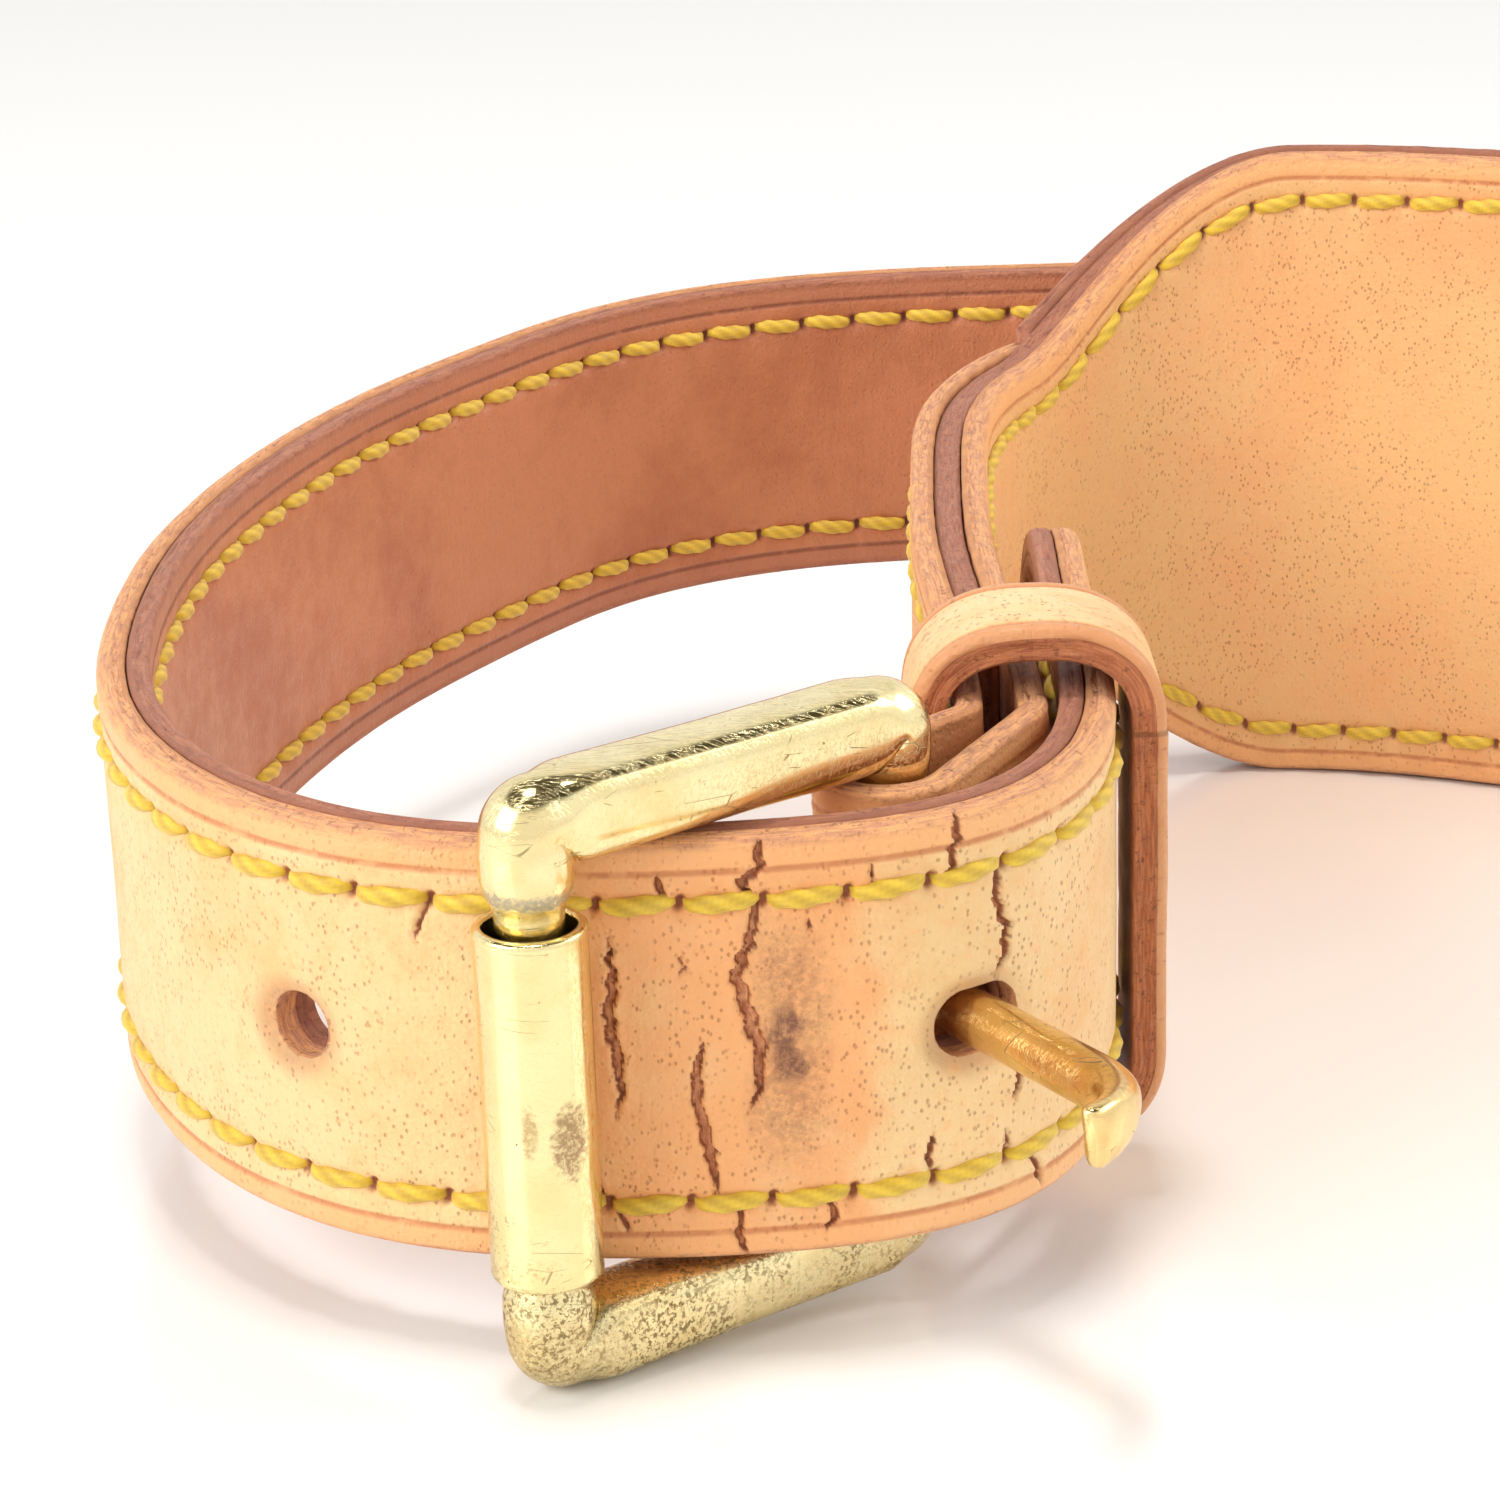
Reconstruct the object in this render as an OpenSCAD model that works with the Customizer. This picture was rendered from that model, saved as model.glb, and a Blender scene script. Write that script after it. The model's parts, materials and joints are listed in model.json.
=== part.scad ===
// Leather strap collar: a stitched two-ply billet, a wide padded panel and a brass roller buckle.
// The collar stands on its edge. It is drawn in its own plane (z = 0 is the middle of the strap)
// and then leant over until the buckle and the panel's lower edge both touch the table.

/* [Leather] */
// Height of the billet and the neck
strap_w = 25; // [22:0.5:25]
// Thickness of the face leather, and of the filler behind it
face_t = 1.9; // [1.5:0.1:2]
// Thickness of the lining leather
lining_t = 1.5; // [1.2:0.1:1.6]

/* [Panel] */
// Height of the wide panel
panel_w = 51; // [44:1:56]
// Number of stitches before the panel starts to widen
neck_stitches = 18; // [16:1:19]
// Number of stitches along the panel, tapers included
panel_stitches = 34; // [30:2:36]
// Length of each taper between the strap's height and the panel's
taper_l = 30; // [20:1:36]

/* [Billet] */
// Diameter of a spare hole
hole_d = 4; // [3.5:0.1:4.5]
// How far the hole in use is stretched along the strap
hole_stretch = 1.6; // [1:0.1:2]
// Distance between holes
hole_pitch = 37.5; // [36:0.5:38]
// Length of the pointed tip
tip_l = 18; // [12:1:22]

/* [Stitching] */
// Distance between stitches
stitch_pitch = 4.4; // [4.2:0.1:4.6]
// Part of the pitch that a stitch covers
stitch_cover = 0.76; // [0.6:0.02:0.85]
// Width of the thread
thread_w = 1; // [0.8:0.1:1.2]
// How far the thread stands out of the leather
thread_rise = 0.25; // [0.15:0.05:0.25]
// Distance from a row of stitches to the leather's edge
row_inset = 3.6; // [3:0.1:4]

/* [Keeper] */
// Width of the keeper band along the strap
keeper_w = 9; // [7:0.5:10]
// Thickness of the keeper band
keeper_t = 2; // [1.6:0.1:2.2]
// Gap between the keeper and what it holds
keeper_gap = 0.6; // [0.5:0.05:0.7]
// Outer corner radius of the keeper
keeper_r = 3.4; // [2.8:0.2:3.8]

/* [Buckle] */
// Distance between the heel bar and the roller bar
bar_pitch = 24.2; // [23.8:0.1:24.6]
// Height and depth of a side bar
side_bar = 5; // [4.6:0.1:5]
// Corner radius of a side bar's section
side_bar_r = 1.8; // [1.2:0.1:2.2]
// Diameter of the heel bar
heel_d = 4.6; // [4.2:0.1:4.6]
// Diameter of the roller bar
roller_bar_d = 3.8; // [3.4:0.1:4.2]
// Outer diameter of the roller
roller_d = 6.2; // [5.8:0.1:6.4]
// Wall of the roller
roller_wall = 0.5; // [0.4:0.1:0.6]
// Length of the roller
roller_l = 20.4; // [19:0.1:21]
// Diameter of the prong
prong_d = 3.1; // [2.8:0.1:3.2]
// Length of the prong's straight stretch, from the heel bar's axis
prong_l = 18.5; // [17:0.5:20]
// Angle through which the prong's end is hooked
prong_hook = 80; // [50:2:90]

/* [Hidden] */
$fn = 48;

// Plan of the whole strap: control points of a smooth curve, from the neck at the buckle, round the
// panel and the back, to the billet's tip. It follows the joint between lining and middle ply.
RUN = [[-27.5, -54], [-26, -38.5], [-26.5, -22.5], [-27.5, -5], [-26.5, 12.5], [-25.5, 30], [-19, 44],
       [-9.5, 53], [5, 54.5], [19.5, 49.5], [35, 40.5], [50.5, 35], [65, 37], [75.5, 46], [78.5, 58],
       [73, 68], [58.5, 73], [38, 73], [14.5, 71.5], [-8, 70], [-26.5, 71], [-41, 68], [-52, 60.5],
       [-60, 48.5], [-68.5, 35], [-74.5, 19], [-78.5, 1.5], [-79, -16], [-77.5, -32.5], [-70.5, -47],
       [-59.5, -56], [-44.5, -57.5], [-30, -56], [-22.5, -48.5], [-19.7, -36.5], [-20.2, -19], [-19, 8],
       [-20, 59]];
SPAN_STEPS = 12;

// Distance of each layer's two faces from the plan curve, positive to the outside of the loop
LINING = [-lining_t, 0];
MIDDLE = [0, face_t];
OUTER = [face_t, 2 * face_t];

// Buckle: place of the heel bar, and the way to the roller and along the prong
HEEL = [-32.4, -48.1];
TO_ROLLER = 216.3;
TO_PRONG = -57;
bore_gap = 0.06;
curl_t = 2.05;
curl_r = heel_d / 2 + bore_gap + curl_t;
side_gap = 0.3;
side_z = strap_w / 2 + side_gap + side_bar / 2;
shoulder_l = 1.9;
roller_gap = 0.1;
eye_r = 3.9;
eye_w = 3.6;
slot_w = 4.8;
slot_r = 5.2;
hook_r = 6;
joint_swell = 0.2;
collar_l = 1;

// Keeper: where it sits along the neck, between the neck's and the tip's runs
keeper_y = -33;
NECK_X = -26.4;
TIP_X = -20.1;

// Splice under the panel's far end, and the start of the neck's core, in stitches
splice_stitches_n = 5;
core_from = 3;

// Rest on the table: way of the lean, and the place of the box's middle
LEAN_WAY = -22.5;
BOX_MIDDLE = [0.22, 2.38];

function spline(p, i, u) =
    (pow(1 - u, 3) * p[i] + (3 * pow(u, 3) - 6 * u * u + 4) * p[i + 1]
     + (-3 * pow(u, 3) + 3 * u * u + 3 * u + 1) * p[i + 2] + pow(u, 3) * p[i + 3]) / 6;
CURVE = [for (i = [0 : len(RUN) - 4], k = [0 : SPAN_STEPS - 1]) spline(RUN, i, k / SPAN_STEPS)];
function run_up(p, i = 0, s = 0) =
    i == len(p) - 1 ? [s] : concat([s], run_up(p, i + 1, s + norm(p[i + 1] - p[i])));
LENGTHS = run_up(CURVE);
TOTAL = LENGTHS[len(LENGTHS) - 1];
XS = [for (i = [0 : len(CURVE) - 1]) [LENGTHS[i], CURVE[i].x]];
YS = [for (i = [0 : len(CURVE) - 1]) [LENGTHS[i], CURVE[i].y]];

// Place on the curve at distance s, the way it runs there, and a point beside it
function at(s) = [lookup(s, XS), lookup(s, YS)];
function way(s) = let (d = at(min(s + 1, TOTAL)) - at(max(s - 1, 0))) d / norm(d);
function beside(s, off) = at(s) + off * [way(s).y, -way(s).x];
function bearing(s) = atan2(way(s).y, way(s).x);

// The curve is walked one stitch at a time
COUNT = floor(TOTAL / stitch_pitch);
PITCH = TOTAL / COUNT;
panel_from = neck_stitches;
panel_to = neck_stitches + panel_stitches;
billet_from = panel_to - splice_stitches_n;
tip_from = COUNT - round(tip_l / PITCH);

// Half the strap's height at distance s: the billet's, the panel's, and smooth tapers between
function ease(u) = let (v = min(max(u, 0), 1)) v * v * (3 - 2 * v);
function rise(s) = ease(min(s - panel_from * PITCH, panel_to * PITCH - s) / taper_l);
function half_height(s) = strap_w / 2 + (panel_w - strap_w) / 2 * rise(s);

// Half the tip's height at a distance from its apex
function tip_half(t) = strap_w / 2 * pow(sin(90 * min(t / tip_l, 1)), 0.6);

// The hole in use stands straight out from the heel bar; the others follow the pitch
function nearest(p, i = 0, best = 0) =
    i == len(CURVE) ? best : nearest(p, i + 1, norm(CURVE[i] - p) < norm(CURVE[best] - p) ? i : best);
prong_way = [cos(TO_PRONG), sin(TO_PRONG)];
used_at = lookup(0, [for (s = [TOTAL - 80 : TOTAL - 40]) [cross(prong_way, at(s) - HEEL), s]]);
SPARE_AT = [used_at + hole_pitch, used_at - hole_pitch, used_at - 2 * hole_pitch];

// Lean: the panel's lower edge and the buckle's lower corner reach the table together
DOWN_WAY = [cos(LEAN_WAY - 90), sin(LEAN_WAY - 90)];
ROLLER = HEEL + bar_pitch * [cos(TO_ROLLER), sin(TO_ROLLER)];
frame_half = side_z + side_bar / 2;
shoulder_z = side_z - side_bar / 2 - shoulder_l;
panel_reach = max([for (k = [panel_from : panel_to])
    if (rise(k * PITCH) > 0.999) beside(k * PITCH, OUTER[1]) * DOWN_WAY]);
buckle_reach = ROLLER * DOWN_WAY + side_bar_r;
lean = atan((panel_w / 2 - frame_half) / (buckle_reach - panel_reach));
lift = panel_w / 2 * cos(lean) + panel_reach * sin(lean);

module at_rest()
    translate([-BOX_MIDDLE.x, -BOX_MIDDLE.y, lift])
        rotate(a = lean, v = [cos(LEAN_WAY), sin(LEAN_WAY), 0]) children();

// A layer of constant height between two stitch counts
module strip(k0, k1, layer, h = strap_w)
    translate([0, 0, -h / 2]) linear_extrude(h)
        polygon(concat([for (k = [k0 : k1]) beside(k * PITCH, layer[0])],
                       [for (k = [k1 : -1 : k0]) beside(k * PITCH, layer[1])]));

// A layer that widens and narrows with the panel
module tapered(k0, k1, layer, trim = 0) {
    rings = [for (k = [k0 : k1]) let (s = k * PITCH, h = half_height(s) - trim,
                                      a = beside(s, layer[0]), b = beside(s, layer[1]))
             [[a.x, a.y, -h], [b.x, b.y, -h], [b.x, b.y, h], [a.x, a.y, h]]];
    last = 4 * (len(rings) - 1);
    walls = [for (i = [0 : len(rings) - 2], j = [0 : 3])
             let (a = 4 * i + j, b = 4 * i + (j + 1) % 4) each [[a, b, b + 4], [a, b + 4, a + 4]]];
    polyhedron(points = [for (r = rings) each r],
               faces = concat([[3, 2, 1, 0]], walls, [[last, last + 1, last + 2, last + 3]]));
}

// Stitches from k0 to k1 on a layer's outer (1) or inner (-1) face, above or below the middle
module stitch_row(k0, k1, off, face, up)
    for (k = [k0 : k1 - 1]) {
        a = beside(k * PITCH, off);
        b = beside((k + 1) * PITCH, off);
        za = up * (half_height(k * PITCH) - row_inset);
        zb = up * (half_height((k + 1) * PITCH) - row_inset);
        long = norm(b - a) * stitch_cover;
        translate([(a.x + b.x) / 2, (a.y + b.y) / 2, (za + zb) / 2])
            rotate([0, 0, atan2(b.y - a.y, b.x - a.x)])
                rotate([0, -atan2(zb - za, norm(b - a)), 0])
                    translate([-long / 2, face > 0 ? -thread_rise : 0, -thread_w / 2])
                        cube([long, thread_rise, thread_w]);
    }

// A rod through the strap at distance s, drawn out by a stretch along the strap
module punch(s, stretch = 0)
    translate([at(s).x, at(s).y, 0]) rotate([0, 0, bearing(s) - 90]) {
        for (side = stretch > 0 ? [-1, 1] : [0])
            translate([0, side * stretch / 2, 0]) rotate([0, 90, 0])
                cylinder(d = hole_d, h = 4 * face_t, center = true);
        if (stretch > 0)
            cube([4 * face_t, stretch, hole_d], center = true);
    }

module holes() {
    punch(used_at, hole_stretch);
    for (s = SPARE_AT) punch(s);
}

// The pointed end of a billet layer
module tip(layer) {
    apex = at(TOTAL).y;
    marks = [for (i = [0 : 8]) tip_l * i / 8];
    outline = concat([for (t = marks) [apex - t, tip_half(t)]],
                     [for (i = [8 : -1 : 1]) [apex - marks[i], -tip_half(marks[i])]]);
    intersection() {
        strip(tip_from, COUNT, layer);
        union() {
            translate([at(TOTAL).x, 0, 0]) rotate([90, 0, 90])
                linear_extrude(6 * face_t, center = true) polygon(outline);
            translate([at(TOTAL).x, apex - tip_l - PITCH, 0])
                cube([6 * face_t, 2 * PITCH, strap_w], center = true);
        }
    }
}

module bar(l, w, r)
    linear_extrude(l) union() {
        square([w - 2 * r, w], center = true);
        square([w, w - 2 * r], center = true);
        for (x = [-1, 1], y = [-1, 1])
            translate([x * (w / 2 - r), y * (w / 2 - r)]) circle(r);
    }

// Place of the heel bar, turned so that +X runs to the roller or along the prong
module at_heel(turn) translate([HEEL.x, HEEL.y, 0]) rotate([0, 0, turn]) children();

module panel_face() color("burlywood") at_rest() tapered(panel_from, panel_to, OUTER);

module panel_filler() color("sienna") at_rest()
    tapered(panel_from, billet_from, MIDDLE, 0.4);

module panel_lining() color("rosybrown") at_rest()
    tapered(panel_from, billet_from, LINING, 0.4);

// Folded round the heel bar, with both legs running up the neck and a core between them
module chape() color("tan") at_rest() {
    outer_leg = [HEEL + curl_r * [cos(-36), sin(-36)], beside(0, OUTER[1]), beside(0, OUTER[0]),
                 HEEL + heel_d / 2 * [cos(-36), sin(-36)]];
    inner_leg = [HEEL + curl_r * [cos(140), sin(140)], beside(0, LINING[0]), beside(0, LINING[1]),
                 HEEL + heel_d / 2 * [cos(140), sin(140)]];
    difference() {
        union() {
            strip(0, panel_from, OUTER);
            strip(0, panel_from, LINING);
            strip(core_from, panel_from, MIDDLE);
            at_heel(0) cylinder(r = curl_r, h = strap_w, center = true);
            translate([0, 0, -strap_w / 2]) linear_extrude(strap_w) polygon(outer_leg);
            translate([0, 0, -strap_w / 2]) linear_extrude(strap_w) polygon(inner_leg);
        }
        at_heel(0) cylinder(d = heel_d + 2 * bore_gap, h = 2 * strap_w, center = true);
        at_heel(0) cylinder(r = slot_r, h = slot_w, center = true);
    }
}

module billet_face() color("wheat") at_rest() difference() {
    union() {
        strip(billet_from, tip_from, MIDDLE);
        tip(MIDDLE);
    }
    holes();
}

module billet_lining() color("indianred") at_rest() difference() {
    union() {
        strip(billet_from, tip_from, LINING);
        tip(LINING);
    }
    holes();
}

// One row on the panel and neck: the outer face, and the lining or the chape's inner leg
module panel_row(up) color("gold") at_rest() {
    stitch_row(1, panel_to, OUTER[1], 1, up);
    stitch_row(1, billet_from - 1, LINING[0], -1, up);
}

module billet_row(up) color("gold") at_rest() {
    stitch_row(panel_to + 1, tip_from, MIDDLE[1], 1, up);
    stitch_row(billet_from + 1, tip_from, LINING[0], -1, up);
}

module panel_upper_stitches() panel_row(1);
module panel_lower_stitches() panel_row(-1);
module billet_upper_stitches() billet_row(1);
module billet_lower_stitches() billet_row(-1);

// Upright stitches on both sides of a strap, midway between stitch counts k and k + 1
module cross_stitches(k, faces, zs)
    for (side = [0, 1], z = zs) {
        a = beside(k * PITCH, faces[side]);
        b = beside((k + 1) * PITCH, faces[side]);
        translate([(a.x + b.x) / 2, (a.y + b.y) / 2, z])
            rotate([0, 0, atan2(b.y - a.y, b.x - a.x)])
                translate([-thread_w / 2, side == 0 ? 0 : -thread_rise, -PITCH * stitch_cover / 2])
                    cube([thread_w, thread_rise, PITCH * stitch_cover]);
    }

module billet_tip_stitches() color("gold") at_rest()
    cross_stitches(tip_from + 1, [LINING[0], MIDDLE[1]], [-PITCH, 0, PITCH]);

module splice_stitches() color("gold") at_rest()
    cross_stitches(panel_to - 1, [LINING[0], OUTER[1]], [-PITCH, 0, PITCH]);

module chape_stitches() color("gold") at_rest()
    cross_stitches(core_from, [LINING[0], OUTER[1]], [-PITCH, 0, PITCH]);

// Inside of the keeper along X: from the chape's inner leg to the billet's outer face
NECK_S = LENGTHS[nearest([NECK_X, keeper_y])];
TIP_S = LENGTHS[nearest([TIP_X, keeper_y])];
KEEPER_IN = beside(NECK_S, LINING[0]).x - keeper_gap;
KEEPER_OUT = beside(TIP_S, MIDDLE[1]).x + keeper_gap;

// Section of the keeper, grown by an amount
module keeper_section(grow, r) {
    w = KEEPER_OUT - KEEPER_IN + 2 * grow;
    h = strap_w + 2 * keeper_gap + 2 * grow;
    translate([(KEEPER_IN + KEEPER_OUT) / 2, 0]) union() {
        square([w - 2 * r, h], center = true);
        square([w, h - 2 * r], center = true);
        for (x = [-1, 1], y = [-1, 1])
            translate([x * (w / 2 - r), y * (h / 2 - r)]) circle(r);
    }
}

module keeper_band() color("peru") at_rest()
    translate([0, keeper_y + keeper_w / 2, 0]) rotate([90, 0, 0]) linear_extrude(keeper_w)
        difference() {
            keeper_section(keeper_t, keeper_r);
            keeper_section(0, keeper_r - keeper_t);
        }

module keeper_stitches() color("gold") at_rest()
    for (z = [-PITCH, 0, PITCH])
        translate([KEEPER_IN - keeper_t - thread_rise, keeper_y - thread_w / 2, z - PITCH / 3])
            cube([thread_rise, thread_w, PITCH * stitch_cover]);

module buckle_frame() color("darkkhaki") at_rest() at_heel(TO_ROLLER) {
    cylinder(d = heel_d, h = 2 * side_z, center = true);
    translate([bar_pitch, 0, 0]) cylinder(d = roller_bar_d, h = 2 * side_z, center = true);
    for (up = [-1, 1]) {
        translate([0, 0, up * side_z]) rotate([0, 90, 0]) bar(bar_pitch, side_bar, side_bar_r);
        for (x = [0, bar_pitch])
            translate([x, 0, up * side_z])
                intersection() {
                    cylinder(d = side_bar, h = side_bar, center = true);
                    rotate([90, 0, 0]) translate([0, 0, -side_bar / 2])
                        bar(side_bar, side_bar, side_bar_r);
                }
        translate([bar_pitch, 0, up * (shoulder_z + side_bar / 2)])
            cylinder(d = side_bar, h = side_bar, center = true);
    }
}

module roller() color("khaki") at_rest() at_heel(TO_ROLLER)
    translate([bar_pitch, 0, roller_gap - shoulder_z]) difference() {
        cylinder(d = roller_d, h = roller_l);
        translate([0, 0, -1]) cylinder(d = roller_d - 2 * roller_wall, h = roller_l + 2);
    }

// The straight stretch stops just short of the hook, and the collar joins the two
module prong() color("goldenrod") at_rest() at_heel(TO_PRONG)
    difference() {
        union() {
            cylinder(r = eye_r, h = eye_w, center = true);
            rotate([0, 90, 0]) cylinder(d = prong_d, h = prong_l - collar_l / 4);
            translate([prong_l - collar_l / 2, 0, 0]) rotate([0, 90, 0])
                cylinder(d = prong_d + joint_swell, h = collar_l);
            translate([prong_l, -hook_r, 0]) rotate([0, 0, 90 - prong_hook])
                rotate_extrude(angle = prong_hook) translate([hook_r, 0]) circle(d = prong_d);
        }
        cylinder(d = heel_d + 2 * bore_gap, h = 2 * eye_w, center = true);
    }

panel_face();
panel_filler();
panel_lining();
chape();
billet_face();
billet_lining();
panel_upper_stitches();
panel_lower_stitches();
billet_upper_stitches();
billet_lower_stitches();
billet_tip_stitches();
splice_stitches();
chape_stitches();
keeper_band();
keeper_stitches();
buckle_frame();
roller();
prong();
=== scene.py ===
"""Looks of the stitched leather strap collar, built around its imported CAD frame."""

import json
import math

import bpy
import numpy as np
from mathutils import Matrix, Vector
from mathutils.kdtree import KDTree


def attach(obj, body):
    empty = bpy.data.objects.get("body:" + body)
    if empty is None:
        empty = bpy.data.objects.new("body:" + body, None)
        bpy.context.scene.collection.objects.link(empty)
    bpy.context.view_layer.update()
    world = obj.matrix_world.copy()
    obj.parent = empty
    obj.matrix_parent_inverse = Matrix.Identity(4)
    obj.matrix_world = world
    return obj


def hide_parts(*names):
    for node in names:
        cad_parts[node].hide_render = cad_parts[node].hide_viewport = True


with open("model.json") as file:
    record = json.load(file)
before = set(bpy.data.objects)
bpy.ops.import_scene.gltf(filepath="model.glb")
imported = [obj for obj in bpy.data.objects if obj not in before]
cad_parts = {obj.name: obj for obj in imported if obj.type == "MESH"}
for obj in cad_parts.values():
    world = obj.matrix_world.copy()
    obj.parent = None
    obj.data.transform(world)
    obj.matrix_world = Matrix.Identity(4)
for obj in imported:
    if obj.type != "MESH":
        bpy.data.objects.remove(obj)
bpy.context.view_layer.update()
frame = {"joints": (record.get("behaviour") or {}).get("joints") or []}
MM = 0.001

# ---------------- the collar's own plane
# Shapes are worked out in the collar's plane, in millimetres, with z = 0 at the strap's middle.
JOINTS = {j["name"]: j for j in frame["joints"]}
UP = np.array(JOINTS["buckle_swing"]["axis"])
AHEAD = np.array(JOINTS["keeper_slide"]["axis"])
TURN = np.column_stack([np.cross(AHEAD, UP), AHEAD, UP])
HEEL = np.array([-32.4, -48.1])
ORIGIN = np.array(JOINTS["buckle_swing"]["pos_m"]) - TURN @ np.array([*HEEL, 0]) * MM


def placed(points):
    """Points of the collar's plane, in millimetres, in the row frame in metres."""
    return np.asarray(points, float) @ TURN.T * MM + ORIGIN


# Control points of the strap's run, as in the CAD source
RUN = np.array([
    [-27.5, -54], [-26, -38.5], [-26.5, -22.5], [-27.5, -5], [-26.5, 12.5], [-25.5, 30],
    [-19, 44], [-9.5, 53], [5, 54.5], [19.5, 49.5], [35, 40.5], [50.5, 35], [65, 37],
    [75.5, 46], [78.5, 58], [73, 68], [58.5, 73], [38, 73], [14.5, 71.5], [-8, 70],
    [-26.5, 71], [-41, 68], [-52, 60.5], [-60, 48.5], [-68.5, 35], [-74.5, 19],
    [-78.5, 1.5], [-79, -16], [-77.5, -32.5], [-70.5, -47], [-59.5, -56], [-44.5, -57.5],
    [-30, -56], [-22.5, -48.5], [-19.7, -36.5], [-20.2, -19], [-19, 8], [-20, 59]])
SPAN_STEPS = 60
STRAP_W, PANEL_W, TAPER_L = 25.0, 51.0, 30.0
FACE_T, LINING_T = 1.9, 1.5
NECK_N, PANEL_N, SPLICE_N = 18, 34, 5
STITCH_PITCH, ROW_INSET, TIP_L = 4.4, 3.6, 18.0
HOLE_D, HOLE_STRETCH, HOLE_PITCH = 4.0, 1.6, 37.5
TO_ROLLER, TO_PRONG = math.radians(216.3), math.radians(-57)


def spline_points():
    u = np.arange(SPAN_STEPS)[:, None] / SPAN_STEPS
    spans = []
    for a, b, c, d in zip(RUN, RUN[1:], RUN[2:], RUN[3:]):
        spans.append(((1 - u) ** 3 * a + (3 * u ** 3 - 6 * u ** 2 + 4) * b
                      + (-3 * u ** 3 + 3 * u ** 2 + 3 * u + 1) * c + u ** 3 * d) / 6)
    return np.vstack(spans)


CURVE = spline_points()
LENGTHS = np.r_[0, np.cumsum(np.hypot(*np.diff(CURVE, axis=0).T))]
TOTAL = float(LENGTHS[-1])
COUNT = int(TOTAL / STITCH_PITCH)
PITCH = TOTAL / COUNT
PANEL_FROM, PANEL_TO = NECK_N * PITCH, (NECK_N + PANEL_N) * PITCH
BILLET_FROM = PANEL_TO - SPLICE_N * PITCH


def at(s):
    """Places on the strap's run at distances s."""
    s = np.asarray(s, float)
    return np.stack([np.interp(s, LENGTHS, CURVE[:, 0]), np.interp(s, LENGTHS, CURVE[:, 1])], -1)


def unit(v):
    return v / np.linalg.norm(v, axis=-1, keepdims=True)


def way(s):
    s = np.asarray(s, float)
    return unit(at(np.minimum(s + 1, TOTAL)) - at(np.maximum(s - 1, 0)))


def outward(s):
    w = way(s)
    return np.stack([w[..., 1], -w[..., 0]], -1)


def beside(s, off):
    return at(s) + np.asarray(off)[..., None] * outward(s)


def ease(u):
    v = np.clip(u, 0, 1)
    return v * v * (3 - 2 * v)


def half_height(s):
    s = np.asarray(s, float)
    rise = ease(np.minimum(s - PANEL_FROM, PANEL_TO - s) / TAPER_L)
    return STRAP_W / 2 + (PANEL_W - STRAP_W) / 2 * rise


def tip_half(s):
    """Half the billet's height near its pointed end."""
    t = np.clip((TOTAL - np.asarray(s, float)) / TIP_L, 0, 1)
    return STRAP_W / 2 * np.sin(t * math.pi / 2) ** 0.6


def hole_in_use():
    s = np.linspace(TOTAL - 80, TOTAL - 40, 400)
    v = at(s) - HEEL
    across = math.cos(TO_PRONG) * v[:, 1] - math.sin(TO_PRONG) * v[:, 0]
    return float(np.interp(0, across, s))


USED = hole_in_use()
SPARE = [USED + HOLE_PITCH, USED - HOLE_PITCH, USED - 2 * HOLE_PITCH]


# ---------------- noise
def lattice(ix, iy, iz, seed):
    h = (ix * 374761393 + iy * 668265263 + iz * 1274126177 + seed * 974634777) & 0xFFFFFFFF
    h = ((h ^ (h >> 13)) * 1103515245) & 0xFFFFFFFF
    return ((h ^ (h >> 16)) & 0xFFFF) / 32767.5 - 1


def lump(x, y=0.0, z=0.0, seed=1):
    """Smooth noise from -1 to 1 that repeats nowhere near, one unit across a lump."""
    x, y, z = np.broadcast_arrays(np.asarray(x, float), np.asarray(y, float), np.asarray(z, float))
    ix, iy, iz = (np.floor(v).astype(np.int64) for v in (x, y, z))
    fx, fy, fz = (v - np.floor(v) for v in (x, y, z))
    fx, fy, fz = (f * f * (3 - 2 * f) for f in (fx, fy, fz))
    out = 0
    for dx in (0, 1):
        for dy in (0, 1):
            for dz in (0, 1):
                w = (fx if dx else 1 - fx) * (fy if dy else 1 - fy) * (fz if dz else 1 - fz)
                out = out + w * lattice(ix + dx, iy + dy, iz + dz, seed)
    return out


# ---------------- meshes
def make_mesh(name, verts, faces, attributes=(), smooth=True):
    mesh = bpy.data.meshes.new(name)
    mesh.from_pydata(np.asarray(verts, float).tolist(), [], [list(f) for f in faces])
    for key, values in dict(attributes).items():
        a = mesh.attributes.new(key, "FLOAT_VECTOR", "POINT")
        a.data.foreach_set("vector", np.asarray(values, np.float32).ravel())
    if smooth:
        mesh.shade_smooth()
    obj = bpy.data.objects.new(name, mesh)
    bpy.context.scene.collection.objects.link(obj)
    return obj


def ring_faces(rings, around, closed=True):
    """Quads of a tube of rings, with an end face at each end."""
    i, j = np.meshgrid(np.arange(rings - 1), np.arange(around), indexing="ij")
    k = (j + 1) % around
    quads = np.stack([i * around + j, i * around + k, (i + 1) * around + k, (i + 1) * around + j],
                     -1).reshape(-1, 4).tolist()
    if closed:
        quads.append(list(range(around))[::-1])
        quads.append([(rings - 1) * around + n for n in range(around)])
    return quads


def wrapped_faces(rings, around):
    """Quads of a tube of rings that closes on itself both ways."""
    i, j = np.meshgrid(np.arange(rings), np.arange(around), indexing="ij")
    k, n = (i + 1) % rings, (j + 1) % around
    return np.stack([i * around + j, i * around + n, k * around + n, k * around + j], -1).reshape(-1, 4)


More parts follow.
